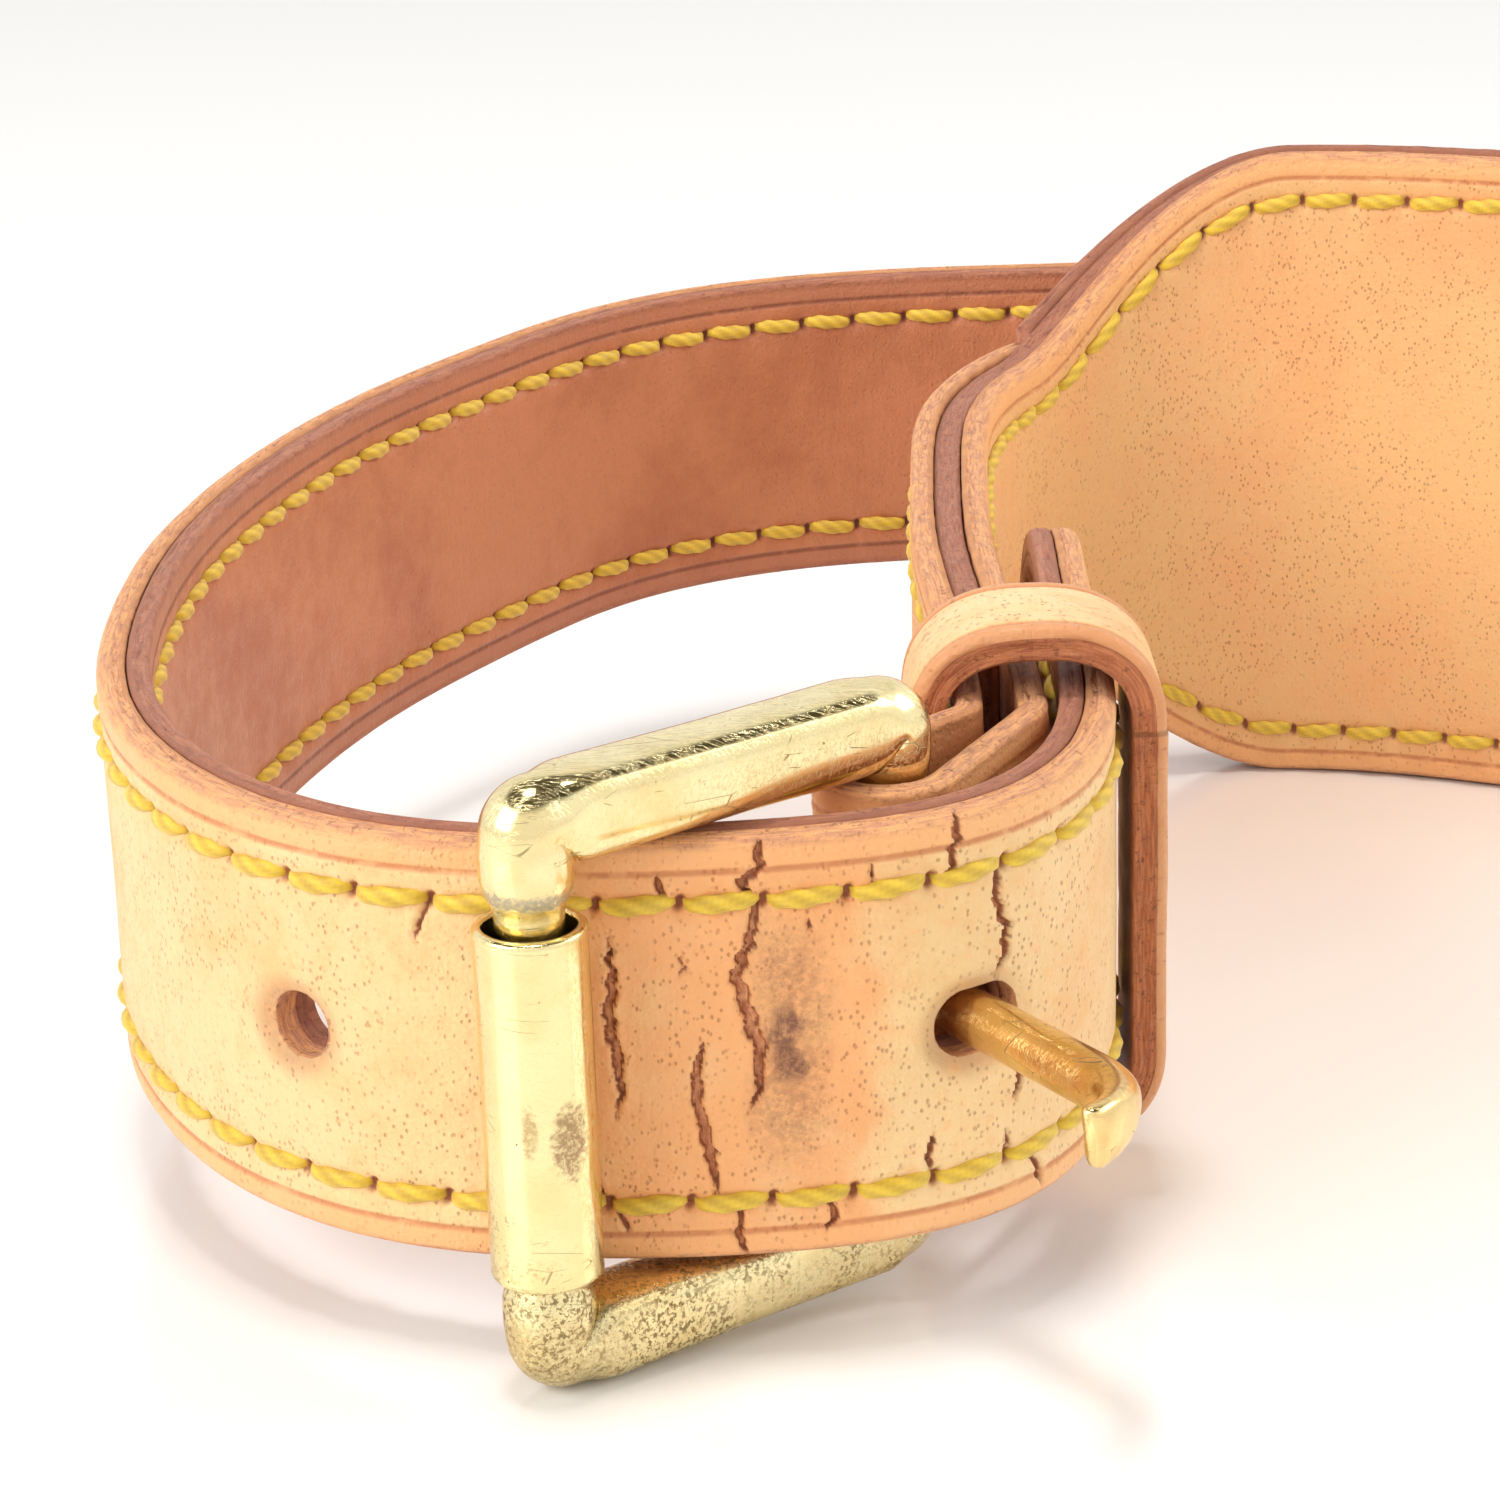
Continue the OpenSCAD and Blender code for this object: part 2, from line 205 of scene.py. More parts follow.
def edge_steps():
    """Distances from the strap's edge at which its section has points: close at the crease and row."""
    return np.array([0, .08, .2, .38, .62, .9, 1.2, 1.45, 1.6, 1.7, 1.8, 1.9, 2.0, 2.15, 2.5, 2.8,
                     3.0, 3.15, 3.3, 3.45, 3.6, 3.75, 3.9, 4.05, 4.25, 4.6, 5.0])


CREASE_D = 1.8
EDGE_R = 0.95


def rounded(d, r):
    """How far a surface drops at distance d from an edge rounded to radius r."""
    e = np.clip(r - d, 0, r)
    return r - np.sqrt(np.maximum(r * r - e * e, 0))


def leather(name, path, normal, s, half, n_lo, n_hi, mid=60, grain=None, creases=1.0, rows=True,
            seed=1, back_r=0.35, rough=1.0, edge_r=EDGE_R):
    """A ply of leather swept along a path: grain side at n_hi, flesh side at n_lo.
    grain(s, z) may press the grain side in, in millimetres, and returns (depth, mark)."""
    d = edge_steps()
    core = np.linspace(-1, 1, mid + 2)[1:-1]
    top = half[:, None] - d[None, :]
    inner = (half - d[-1])[:, None] * core[None, ::-1]
    zg = np.hstack([top, inner, -top[:, ::-1]])
    back_d = np.array([0, .1, .25, .5, 1.0])
    back_core = np.linspace(-1, 1, 26)[1:-1]
    back_top = half[:, None] - back_d[None, :]
    zb = np.hstack([-back_top, (half - 1.0)[:, None] * back_core[None, :], back_top[:, ::-1]])
    side_t = np.linspace(0, 1, 9)[1:-1]
    s2 = np.broadcast_to(s[:, None], zg.shape)
    dist = half[:, None] - np.abs(zg)
    ng = n_hi - rounded(dist, edge_r)
    crease = creases * 0.13 * np.exp(-((dist - CREASE_D) / 0.16) ** 2)
    crease = crease + creases * 0.05 * np.exp(-((dist - CREASE_D - 0.75) / 0.12) ** 2)
    mark = np.zeros_like(zg)
    if rows:
        near = np.exp(-((dist - ROW_INSET) / 0.62) ** 2)
        along = (s2 / PITCH) % 1.0
        along = np.minimum(along, 1 - along) * PITCH
        slot = dist - ROW_INSET + 0.35 * np.sign(zg) * np.sin(2 * math.pi * s2 / PITCH)
        hole = np.exp(-(along / 0.36) ** 2) * np.exp(-(slot / 0.5) ** 2)
        puff = np.exp(-((np.abs(dist - ROW_INSET) - 1.05) / 0.4) ** 2)
        puff = puff * np.cos(2 * math.pi * s2 / PITCH)
        crease = crease + 0.24 * near + 0.62 * hole + 0.045 * puff
        # The needle holes' mark also paints them dark raw brown in the material: painted shade in the
        # holes.
        mark = mark + 0.72 * hole
    lumps = 0.05 * lump(s2 / 9, zg / 9, seed=seed) + 0.02 * lump(s2 / 1.7, zg / 2.4, seed=seed + 1)
    depth = np.zeros_like(zg)
    if grain is not None:
        depth, cut = grain(s2, zg)
        mark = np.maximum(mark, cut)
    ng = ng - crease - depth + rough * (lumps - 0.05)
    tb = np.broadcast_to(s[:, None], zb.shape)
    nb = n_lo + rounded(half[:, None] - np.abs(zb), back_r)
    nb = nb + rough * 0.03 * (1 + lump(tb / 1.3, zb / 1.3, seed=seed + 2))
    rim = rough * 0.13 * lump(s[:, None] / 0.8, side_t[None, :] * 3, seed=seed + 3)
    n_side_lo = ng[:, -1][:, None] * (1 - side_t) + nb[:, 0][:, None] * side_t
    z_side_lo = -(half[:, None] + rim - 0.06 * np.sin(side_t * math.pi))
    n_side_hi = nb[:, -1][:, None] * (1 - side_t) + ng[:, 0][:, None] * side_t
    z_side_hi = half[:, None] + rim[:, ::-1] - 0.06 * np.sin(side_t * math.pi)
    n = np.hstack([ng, n_side_lo, nb, n_side_hi])
    z = np.hstack([zg, z_side_lo, zb, z_side_hi])
    zeros = np.zeros_like(n_side_lo)
    kind = np.hstack([np.zeros_like(zg), zeros + 1, np.zeros_like(zb) + 2, zeros + 1])
    marks = np.hstack([mark, zeros, np.zeros_like(zb), zeros])
    xy = path[:, None, :] + n[..., None] * normal[:, None, :]
    verts = np.concatenate([xy, z[..., None]], -1).reshape(-1, 3)
    far = np.maximum(half[:, None] - np.abs(z), 0)
    strap = np.stack([np.broadcast_to(s[:, None], n.shape), z, n_hi - n], -1).reshape(-1, 3)
    marks = np.stack([marks, far, kind], -1).reshape(-1, 3)
    return make_mesh(name, placed(verts), ring_faces(len(s), n.shape[1]),
                     {"strap": strap, "marks": marks})


def apply_modifiers(obj):
    dg = bpy.context.evaluated_depsgraph_get()
    mesh = bpy.data.meshes.new_from_object(obj.evaluated_get(dg))
    obj.modifiers.clear()
    obj.data = mesh


def cut(obj, cutter):
    """Takes the cutter's shape out of obj, and drops the cutter."""
    m = obj.modifiers.new("cut", "BOOLEAN")
    m.operation = "DIFFERENCE"
    m.solver = "EXACT"
    m.object = cutter
    old = obj.data.copy()
    apply_modifiers(obj)
    obj.data.shade_smooth()
    carry_over(old, obj.data)
    bpy.data.meshes.remove(old)
    bpy.data.objects.remove(cutter)


def vectors(data, key, count):
    flat = np.empty(count * 3, np.float32)
    data.foreach_get(key, flat)
    return flat.reshape(-1, 3)


def carry_over(old, new):
    """Gives the vertices of a cut mesh the marks of the uncut one, and new walls the cut mark."""
    tree = KDTree(len(old.vertices))
    for i, v in enumerate(old.vertices):
        tree.insert(v.co, i)
    tree.balance()
    found = [tree.find(v.co) for v in new.vertices]
    index = np.array([f[1] for f in found])
    made = np.array([f[2] for f in found]) > 1e-6
    for key in ("strap", "marks"):
        values = vectors(old.attributes[key].data, "vector", len(old.vertices))[index]
        if key == "marks":
            values[made] = (0, 0.3, 1)
        new.attributes[key].data.foreach_set("vector", values.ravel())


def joined(objects):
    """One object holding the meshes of several."""
    verts, faces = [], []
    for obj in objects:
        base = len(verts)
        verts += [v.co[:] for v in obj.data.vertices]
        faces += [[base + n for n in f.vertices] for f in obj.data.polygons]
        bpy.data.objects.remove(obj)
    return make_mesh("cutter", verts, faces)


ROD_RINGS, ROD_AROUND = 9, 40


def rod(name, centre, axis, radius, length, stretch_way=(0, 0, 0), stretch=0.0):
    """A round cutter through a point of the collar's plane; it may be drawn out along a way."""
    axis = unit(np.array(axis, float))
    up = np.array([0.0, 0.0, 1.0]) if abs(axis[2]) < 0.9 else np.array([1.0, 0.0, 0.0])
    side = unit(np.cross(up, axis))
    up = np.cross(axis, side)
    ring = []
    for t in np.linspace(-1, 1, ROD_RINGS):
        r = radius * (1 + 0.03 * math.sin(7 * t))
        for a in np.arange(ROD_AROUND) * 2 * math.pi / ROD_AROUND:
            p = np.array(centre) + axis * t * length / 2 + r * (math.cos(a) * side + math.sin(a) * up)
            ring.append(p + np.array(stretch_way) * math.copysign(stretch / 2, math.cos(a)))
    return make_mesh(name, placed(ring), ring_faces(ROD_RINGS, ROD_AROUND))


# ---------------- cracks of the worn stretch
# Each crack: points as (mm along the strap from the hole in use, mm above the middle), then width
CRACKS = [
    ([(-19.6, 7.1), (-19.5, 4.8), (-19.8, 2.4), (-19.5, 0.2), (-19.3, -2.2), (-19.8, -3.6)], 0.42),
    ([(-21.7, 2.4), (-21.5, 0.2), (-21.2, -1.6)], 0.16),
    ([(-11.9, 8.9), (-12.2, 6.6), (-13.0, 4.6), (-12.4, 2.3), (-11.9, 0.3), (-12.0, -2.4),
      (-12.7, -3.6)], 0.62),
    ([(-14.9, 1.0), (-15.3, -1.2), (-15.3, -3.4), (-14.8, -5.4), (-14.3, -8.9)], 0.5),
    ([(-15.7, 6.0), (-15.9, 4.6)], 0.1),
    ([(1.2, 9.0), (1.0, 7.2), (1.7, 5.2), (1.5, 3.4), (1.0, 2.2)], 0.4),
    ([(2.3, -2.2), (2.4, -4.0), (2.2, -5.6)], 0.3),
    ([(-2.7, -6.1), (-3.1, -7.4), (-2.7, -8.7)], 0.22),
    ([(1.6, -7.2), (1.7, -8.9)], 0.16),
    ([(-20.8, -6.6), (-20.9, -7.6), (-20.2, -8.9)], 0.2),
    ([(-16.9, 9.2), (-16.9, 10.6)], 0.3),
    ([(-12.3, 9.0), (-12.7, 9.9), (-11.8, 10.6), (-11.6, 12.5)], 0.42),
    ([(-1.6, 9.2), (-1.4, 10.6), (-1.1, 12.5)], 0.38),
    ([(-5.9, 9.3), (-5.7, 10.6)], 0.12),
    ([(-19.6, -9.1), (-19.4, -10.6)], 0.2),
    ([(-13.0, -9.2), (-13.4, -10.4), (-13.0, -12.5)], 0.26),
    ([(-8.2, -9.2), (-8.3, -10.4), (-8.7, -11.2)], 0.26),
    ([(3.4, -9.2), (3.7, -10.4), (4.2, -11.6)], 0.24),
    ([(-29.2, 8.8), (-29.6, 7.6), (-29.9, 6.3)], 0.16),
    ([(-9.2, 7.6), (-9.1, 6.9)], 0.16),
]
CRACK_DEPTH = 0.6
FLAP = 0.08
ROW_Z, ROW_REACH = 8.95, 0.3


def worn_grain(s, z):
    """How deep the billet's grain side is pressed in or cracked, and how cut the grain is."""
    depth, mark = np.zeros_like(s), np.zeros_like(s)
    for i, h in enumerate([USED, *SPARE]):
        stretch = HOLE_STRETCH / 2 if i == 0 else 0.0
        out = np.hypot(np.maximum(np.abs(s - h) - stretch, 0), z) - HOLE_D / 2
        depth += 0.3 * np.exp(-(np.maximum(out, 0) / 0.55) ** 2)
    near = (s > USED - 36) & (s < USED + 10)
    q, h = s[near] - USED, z[near]
    q = q + 0.17 * lump(h * 1.9, 0, 0, seed=7) + 0.1 * lump(h * 5.3, 0, 0, seed=8)
    deep, flap = np.zeros_like(q), np.zeros_like(q)
    for points, width in CRACKS:
        run = np.r_[0, np.cumsum([math.dist(a, b) for a, b in zip(points, points[1:])])]
        start_z = abs(points[0][1])
        at_row = abs(start_z - ROW_Z) < ROW_REACH or start_z > 12
        for i, ((ax, ay), (bx, by)) in enumerate(zip(points, points[1:])):
            t = ((q - ax) * (bx - ax) + (h - ay) * (by - ay)) / (run[i + 1] - run[i]) ** 2
            t = np.clip(t, 0, 1)
            gap = np.hypot(q - ax - t * (bx - ax), h - ay - t * (by - ay))
            along = (run[i] + t * (run[i + 1] - run[i])) / run[-1]
            taper = np.minimum((along + 0.5) if at_row else along * 4, (1 - along) * 3.2)
            w = width * np.clip(taper, 0.12, 1) * (1 + 0.35 * lump(h * 3.1, q, 0, seed=9)) / 2
            cut_in = 1 - ease((gap - w * 0.8) / (0.12 + 0.06 * w))
            deep = np.maximum(deep, cut_in * np.clip(w / 0.1, 0.35, 1))
            flap = np.maximum(flap, np.exp(-((gap - w - 0.25) / 0.3) ** 2) * (w > 0.06))
    floor_lumps = 0.12 * lump(q / 0.45, h / 0.3, 0, seed=17)
    depth[near] += deep * (CRACK_DEPTH + floor_lumps) - FLAP * flap * (1 - deep)
    mark[near] = deep
    return depth, mark


# ---------------- materials
class Graph:
    """A new material, with short names for building its nodes."""

    def __init__(self, name):
        self.mat = bpy.data.materials.new(name)
        self.mat.use_nodes = True
        self.tree = self.mat.node_tree
        self.tree.nodes.clear()

    def node(self, kind, **settings):
        n = self.tree.nodes.new(kind)
        for key, value in settings.items():
            setattr(n, key, value)
        return n

    def link(self, value, socket):
        if isinstance(value, bpy.types.NodeSocket):
            self.tree.links.new(value, socket)
        else:
            socket.default_value = value

    def math(self, op, a, b, clamp=False):
        n = self.node("ShaderNodeMath", operation=op, use_clamp=clamp)
        self.link(a, n.inputs[0])
        self.link(b, n.inputs[1])
        return n.outputs[0]

    def plus(self, a, b):
        return self.math("ADD", a, b)

    def minus(self, a, b):
        return self.math("SUBTRACT", a, b)

    def times(self, a, b):
        return self.math("MULTIPLY", a, b)

    def larger(self, a, b):
        return self.math("MAXIMUM", a, b)

    def apart(self, a, b):
        return self.math("ABSOLUTE", self.minus(a, b), 0.0)

    def ramp(self, value, lo, hi, a=0.0, b=1.0):
        n = self.node("ShaderNodeMapRange", interpolation_type="SMOOTHSTEP")
        for v, i in ((value, 0), (lo, 1), (hi, 2), (a, 3), (b, 4)):
            self.link(v, n.inputs[i])
        return n.outputs[0]

    def mix(self, factor, a, b):
        n = self.node("ShaderNodeMix", data_type="RGBA")
        self.link(factor, n.inputs[0])
        self.link(a if isinstance(a, bpy.types.NodeSocket) else (*a, 1), n.inputs[6])
        self.link(b if isinstance(b, bpy.types.NodeSocket) else (*b, 1), n.inputs[7])
        return n.outputs[2]

    def attribute(self, name):
        n = self.node("ShaderNodeAttribute", attribute_name=name)
        split = self.node("ShaderNodeSeparateXYZ")
        self.tree.links.new(n.outputs["Vector"], split.inputs[0])
        return split.outputs, n.outputs["Vector"]

    def vector(self, op, a, b=(0, 0, 0)):
        n = self.node("ShaderNodeVectorMath", operation=op)
        self.link(a, n.inputs[0])
        self.link(b, n.inputs[1])
        return n.outputs["Value" if op in ("DISTANCE", "LENGTH") else "Vector"]

    def scaled(self, vector, scale):
        return self.vector("MULTIPLY", vector, scale)

    def noise(self, vector, scale, detail=3.0, rough=0.5):
        n = self.node("ShaderNodeTexNoise")
        self.link(vector, n.inputs["Vector"])
        self.link(scale, n.inputs["Scale"])
        self.link(detail, n.inputs["Detail"])
        self.link(rough, n.inputs["Roughness"])
        return n.outputs[0]

    def cells(self, vector, scale, feature="F1"):
        n = self.node("ShaderNodeTexVoronoi", feature=feature)
        self.link(vector, n.inputs["Vector"])
        self.link(scale, n.inputs["Scale"])
        return n.outputs[0]

    def bump(self, height, strength, distance):
        n = self.node("ShaderNodeBump")
        self.link(strength, n.inputs["Strength"])
        self.link(distance, n.inputs["Distance"])
        self.link(height, n.inputs["Height"])
        return n.outputs[0]

    def shader(self, color, rough, normal=None, **more):
        n = self.node("ShaderNodeBsdfPrincipled")
        self.link(color, n.inputs["Base Color"])
        self.link(rough, n.inputs["Roughness"])
        if normal is not None:
            self.link(normal, n.inputs["Normal"])
        for key, value in more.items():
            self.link(value, n.inputs[key.replace("_", " ")])
        out = self.node("ShaderNodeOutputMaterial")
        self.tree.links.new(n.outputs[0], out.inputs[0])


def leather_material(name, pale, warm, raw, edge, worn=False, seed=0.0, gloss=0.5, pores=1.0,
                     side=None, line_color=None):
    """Vegetable-tan leather: pale grain, warmer patches, redder raw cuts and layered edges."""
    g = Graph(name)
    (s, z, _), strap = g.attribute("strap")
    (mark, far, kind), _ = g.attribute("marks")
    p = g.vector("ADD", strap, (seed, seed * 0.7, 0))
    patch = g.noise(p, 0.055, 3.0, 0.55)
    fine = g.noise(p, 0.5, 4.0, 0.6)
    tone = g.ramp(g.plus(g.times(patch, 0.75), g.times(fine, 0.25)),
                  0.42, 0.66)
    color = g.mix(tone, pale, warm)
    if worn:
        shift = g.times(g.minus(g.noise(p, 0.2, 3.0), 0.5), 5.0)
        place = g.apart(g.plus(s, shift), USED - 14.0)
        use = g.ramp(place, 7.0, 9.2, 0.92, 0)
        use = g.times(use, g.ramp(g.noise(p, 0.3, 3.0), 0.25, 0.6, 0.62, 1))
        color = g.mix(use, color, WORN_TAN)
        color = g.mix(worn_stain(g, s, z, p), color, STAIN)
        for h in (USED, *SPARE):
            halo = g.vector("DISTANCE", g.scaled(strap, (1, 1, 0)), (h - 0.35, -0.2, 0))
            color = g.mix(g.ramp(halo, 2.0, 3.7, 0.5, 0), color, raw)
    streak = g.noise(g.scaled(p, (3.2, 0.22, 1)), 1.0, 3.0, 0.6)
    color = g.mix(g.ramp(streak, 0.5, 0.75, 0, 0.2), color, warm)
    freckle = g.ramp(g.noise(p, 0.9, 5.0, 0.75), 0.5, 0.7, 0, 0.42)
    color = g.mix(freckle, color, edge)
    pore = g.cells(g.scaled(p, (1, 0.7, 0.2)), 2.7)
    spots = g.ramp(pore, 0.1, 0.32, 1, 0)
    gate = g.ramp(g.noise(p, 0.16, 2.0), 0.32, 0.6, 0.3, 1)
    spots = g.times(g.times(spots, gate), 0.5 * pores)
    color = g.mix(spots, color, raw)
    color = g.mix(g.ramp(far, 1.65, 2.15, 0.72, 0), color, edge)
    line = g.ramp(g.apart(far, CREASE_D), 0.05, 0.3, 0.75, 0)
    line = g.times(line, g.ramp(kind, 0.2, 0.4, 1, 0))
    line = g.times(line, g.ramp(g.noise(p, 0.7, 2.0), 0.3, 0.5, 0.45, 1))
    color = g.mix(line, color, line_color or raw)
    layers = g.noise(g.scaled(p, (0.5, 1.2, 5.5)), 1.0, 4.0, 0.65)
    cut_color = side or (0.56, 0.245, 0.15)
    cut = g.mix(g.ramp(layers, 0.36, 0.64), edge, cut_color)
    speck = g.ramp(g.noise(p, 2.2, 4.0, 0.75), 0.55, 0.66, 0, 0.6)
    cut = g.mix(speck, cut, (raw[0] * 0.4, raw[1] * 0.4, raw[2] * 0.6))
    shoulder = g.ramp(far, 0.12, 0.8, 0.85, 0)
    cut_side = g.times(g.ramp(kind, 0.3, 0.7), g.ramp(kind, 1.3, 1.7, 1, 0))
    cut_side = g.larger(cut_side, shoulder)
    color = g.mix(cut_side, color, cut)
    flesh = g.ramp(kind, 1.4, 1.8)
    color = g.mix(flesh, color, g.mix(fine, raw, edge))
    # Painted shade: crack walls and needle holes (mark 0.12 to 0.5) are painted dark raw brown for the
    # shade in these recesses; the crack floors below get the fibres' own lighter colour.
    color = g.mix(g.ramp(mark, 0.12, 0.5), color, raw)
    fibre = g.noise(g.scaled(p, (2.5, 1.2, 1)), 1.2, 4.0, 0.7)
    bed = g.mix(g.ramp(fibre, 0.3, 0.7), (0.52, 0.18, 0.075), (0.86, 0.42, 0.20))
    color = g.mix(g.ramp(mark, 0.74, 0.92), color, bed)
    grainy = g.plus(g.times(g.cells(p, 3.4), 0.5), g.noise(p, 2.3, 4.0, 0.65))
    fold = g.noise(g.scaled(p, (2.4, 0.35, 1)), 1.0, 2.0, 0.5)
    height = g.plus(grainy, g.times(fold, 0.8))
    height = g.minus(height, g.times(spots, 2.2))
    rough_cut = g.plus(layers, g.noise(p, 2.6, 4.0, 0.75))
    height = g.plus(height, g.times(g.times(cut_side, rough_cut), 2.6))
    normal = g.bump(height, 0.7, 0.0001)
    rough = g.ramp(fine, 0.3, 0.7, gloss - 0.07, gloss + 0.08)
    rough = g.math("ADD", rough, g.times(cut_side, 0.2), clamp=True)
    g.shader(color, rough, normal, Specular_IOR_Level=0.4, Sheen_Weight=0.05,
             Subsurface_Weight=0.05, Subsurface_Radius=(0.0012, 0.0005, 0.0002))
    return g.mat


PALE = (0.86, 0.60, 0.30)
WARM = (0.82, 0.475, 0.20)
WORN_TAN = (0.87, 0.40, 0.155)
RAW = (0.36, 0.12, 0.05)
EDGE = (0.88, 0.43, 0.175)
LINE = (0.55, 0.19, 0.07)
STAIN = (0.17, 0.062, 0.036)
PANEL_TAN = (0.84, 0.42, 0.175)


def worn_stain(g, s, z, p):
    """Dark smudge across the worn stretch, strongest near the middle."""
    wobble = g.times(g.minus(g.noise(p, 0.45, 4.0, 0.65), 0.5), 3.4)
    across = g.apart(g.plus(s, wobble), USED - 10.4)
    above = g.apart(z, 0.4)
    core = g.times(g.ramp(across, 0.3, 1.5, 1, 0), g.ramp(above, 1.4, 3.6, 1, 0))
    smear = g.times(g.ramp(across, 0.6, 2.9, 1, 0), g.ramp(above, 4.0, 8.6, 1, 0.15))
    grit = g.ramp(g.noise(p, 1.9, 4.0, 0.75), 0.36, 0.6, 0.3, 1)
    smear = g.times(g.times(smear, grit), 0.46)
    core = g.times(core, g.ramp(grit, 0.3, 1.0, 0.72, 0.95))
    return g.larger(smear, core)


def thread_material():
    g = Graph("yellow_thread")
    (_, _, deep), strap = g.attribute("strap")
    tint = g.noise(strap, 0.5, 3.0)
    fibre = g.noise(g.scaled(strap, (5, 5, 12)), 1.0, 3.0, 0.7)
    color = g.mix(g.ramp(tint, 0.35, 0.7), (0.86, 0.60, 0.04), (0.76, 0.52, 0.045))
    color = g.mix(g.ramp(fibre, 0.5, 0.75, 0, 0.3), color, (0.90, 0.72, 0.20))
    # Painted shade: the grooves between the twist's plies are painted dark brown.
    twist_groove_shade = g.ramp(deep, 0.0, 0.14, 0, 0.6)
    color = g.mix(twist_groove_shade, color, (0.38, 0.19, 0.015))
    normal = g.bump(fibre, 0.5, 0.00006)
    g.shader(color, 0.5, normal, Sheen_Weight=0.2)
    return g.mat


def brass_material(name, base, dull, grime, tarnish=0.5, rough=0.13, patches=()):
    """Polished brass with scratches, pits and tarnish.
    patches: each a centre, radii, colour and strength, all in the object's own millimetres."""
    g = Graph(name)
    geometry = g.node("ShaderNodeTexCoord")
    p = g.scaled(geometry.outputs["Object"], (1000, 1000, 1000))
    split = g.node("ShaderNodeSeparateXYZ")
    g.link(p, split.inputs[0])
    low = g.ramp(split.outputs[2], 5.0, 15.0, 0.1, 0)
    cloud = g.noise(p, 0.3, 4.0, 0.6)
    color = g.mix(g.ramp(cloud, 0.35, 0.7), base, dull)
    pits = g.ramp(g.cells(p, 1.5), 0.07, 0.15, 1, 0)
    gate = g.ramp(g.plus(g.noise(p, 0.45, 3.0), low), 0.60 - 0.2 * tarnish, 0.72)
    specks = g.times(pits, gate)
    grit = g.ramp(g.plus(g.noise(p, 3.2, 4.0, 0.75), low), 0.61 - 0.05 * tarnish, 0.67)
    stain = g.ramp(g.plus(g.noise(p, 0.22, 4.0, 0.65), g.times(low, 2.0)),
                   0.62 - 0.14 * tarnish, 0.8)
    dirty = g.larger(specks, g.times(grit, stain))
    web = g.cells(g.scaled(p, (0.35, 0.8, 1.9)), 0.45, "DISTANCE_TO_EDGE")
    scratch = g.times(g.ramp(web, 0.004, 0.016, 1, 0),
                     g.ramp(g.noise(p, 0.35, 2.0), 0.56, 0.62))
    dirty = g.larger(dirty, g.times(scratch, 0.8))
    color = g.mix(g.times(dirty, 0.82), color, grime)
    for centre, radii, tint, strength in patches:
        offset = g.vector("SUBTRACT", p, centre)
        size = g.vector("LENGTH", g.scaled(offset, tuple(1 / r for r in radii)))
        ragged = g.plus(size, g.times(g.minus(g.noise(p, 1.6, 5.0, 0.75), 0.5), 1.7))
        mask = g.ramp(ragged, 0.6, 1.1, strength, 0)
        mask = g.times(mask, g.ramp(g.noise(p, 4.0, 4.0, 0.75), 0.36, 0.56, 0.35, 1))
        color = g.mix(mask, color, tint)
        dirty = g.larger(dirty, mask)
    lines = g.noise(g.scaled(p, (0.35, 4.5, 1.2)), 1.3, 3.0, 0.7)
    hair = g.ramp(g.apart(lines, 0.5), 0.0, 0.02, 1, 0)
    height = g.minus(g.times(g.noise(p, 0.5, 3.0), 0.4), g.times(hair, 0.2))
    height = g.minus(height, g.times(dirty, 0.3))
    normal = g.bump(height, 0.3, 0.0001)
    shine = g.math("ADD", g.ramp(cloud, 0.3, 0.7, rough - 0.04, rough + 0.07),
                   g.times(dirty, 0.35), clamp=True)
    g.shader(color, shine, normal, Metallic=1.0)
    return g.mat


# ---------------- leather pieces
def fine_steps(s0, s1, step, fine_zones=()):
    """Distances along the strap, closer together in the fine zones."""
    out, s = [s0], s0
    while s < s1 - 1e-6:
        here = step
        for lo, hi, small in fine_zones:
            if lo - step < s < hi:
                here = min(here, small)
        s = min(s + here, s1)
        out.append(s)
    return np.array(out)


def billet_half(s):
    return np.minimum(STRAP_W / 2, np.maximum(tip_half(s), 0.15))


FACE_ZONE = (USED - 34, USED + 9, 0.16)
HOLE_ZONES = [(h - 3.5, h + 3.5, 0.3) for h in SPARE]
STEP = PITCH / 8


def punch_holes(obj):
    rods = [rod(f"rod_{i}", [*beside(h, 0.2), 0], [*outward(h), 0], HOLE_D / 2 - 0.05, 9.0,
                [*way(h), 0], HOLE_STRETCH if i == 0 else 0.0)
            for i, h in enumerate([USED, *SPARE])]
    cut(obj, joined(rods))


def billet_pieces():
    zones = [*HOLE_ZONES, (TOTAL - 6, TOTAL, 0.3)]
    s = fine_steps(BILLET_FROM, TOTAL - 0.05, STEP, [FACE_ZONE, *zones])
    face = leather("billet_outer_leather", at(s), outward(s), s, billet_half(s), 0.0, FACE_T, mid=92,
                   grain=worn_grain, seed=11)
    s = fine_steps(BILLET_FROM, TOTAL - 0.05, STEP, zones)
    lining = leather("billet_inner_leather", at(s), -outward(s), s, billet_half(s), 0.0, LINING_T,
                     mid=34, seed=31, edge_r=0.5, creases=0.6, rough=0.8)
    for obj in (face, lining):
        punch_holes(obj)
    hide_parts("billet_face")
    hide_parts("billet_lining")
    return face, lining


def panel_outer():
    s = fine_steps(0.0, PANEL_TO, STEP)
    obj = leather("panel_outer_leather", at(s), outward(s), s, half_height(s), FACE_T, 2 * FACE_T,
                  mid=70, seed=51)
    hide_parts("panel_face")
    return obj


CURL_R, CURL_T = 4.41, 2.05
SLOT_R, SLOT_W = 5.2, 4.8


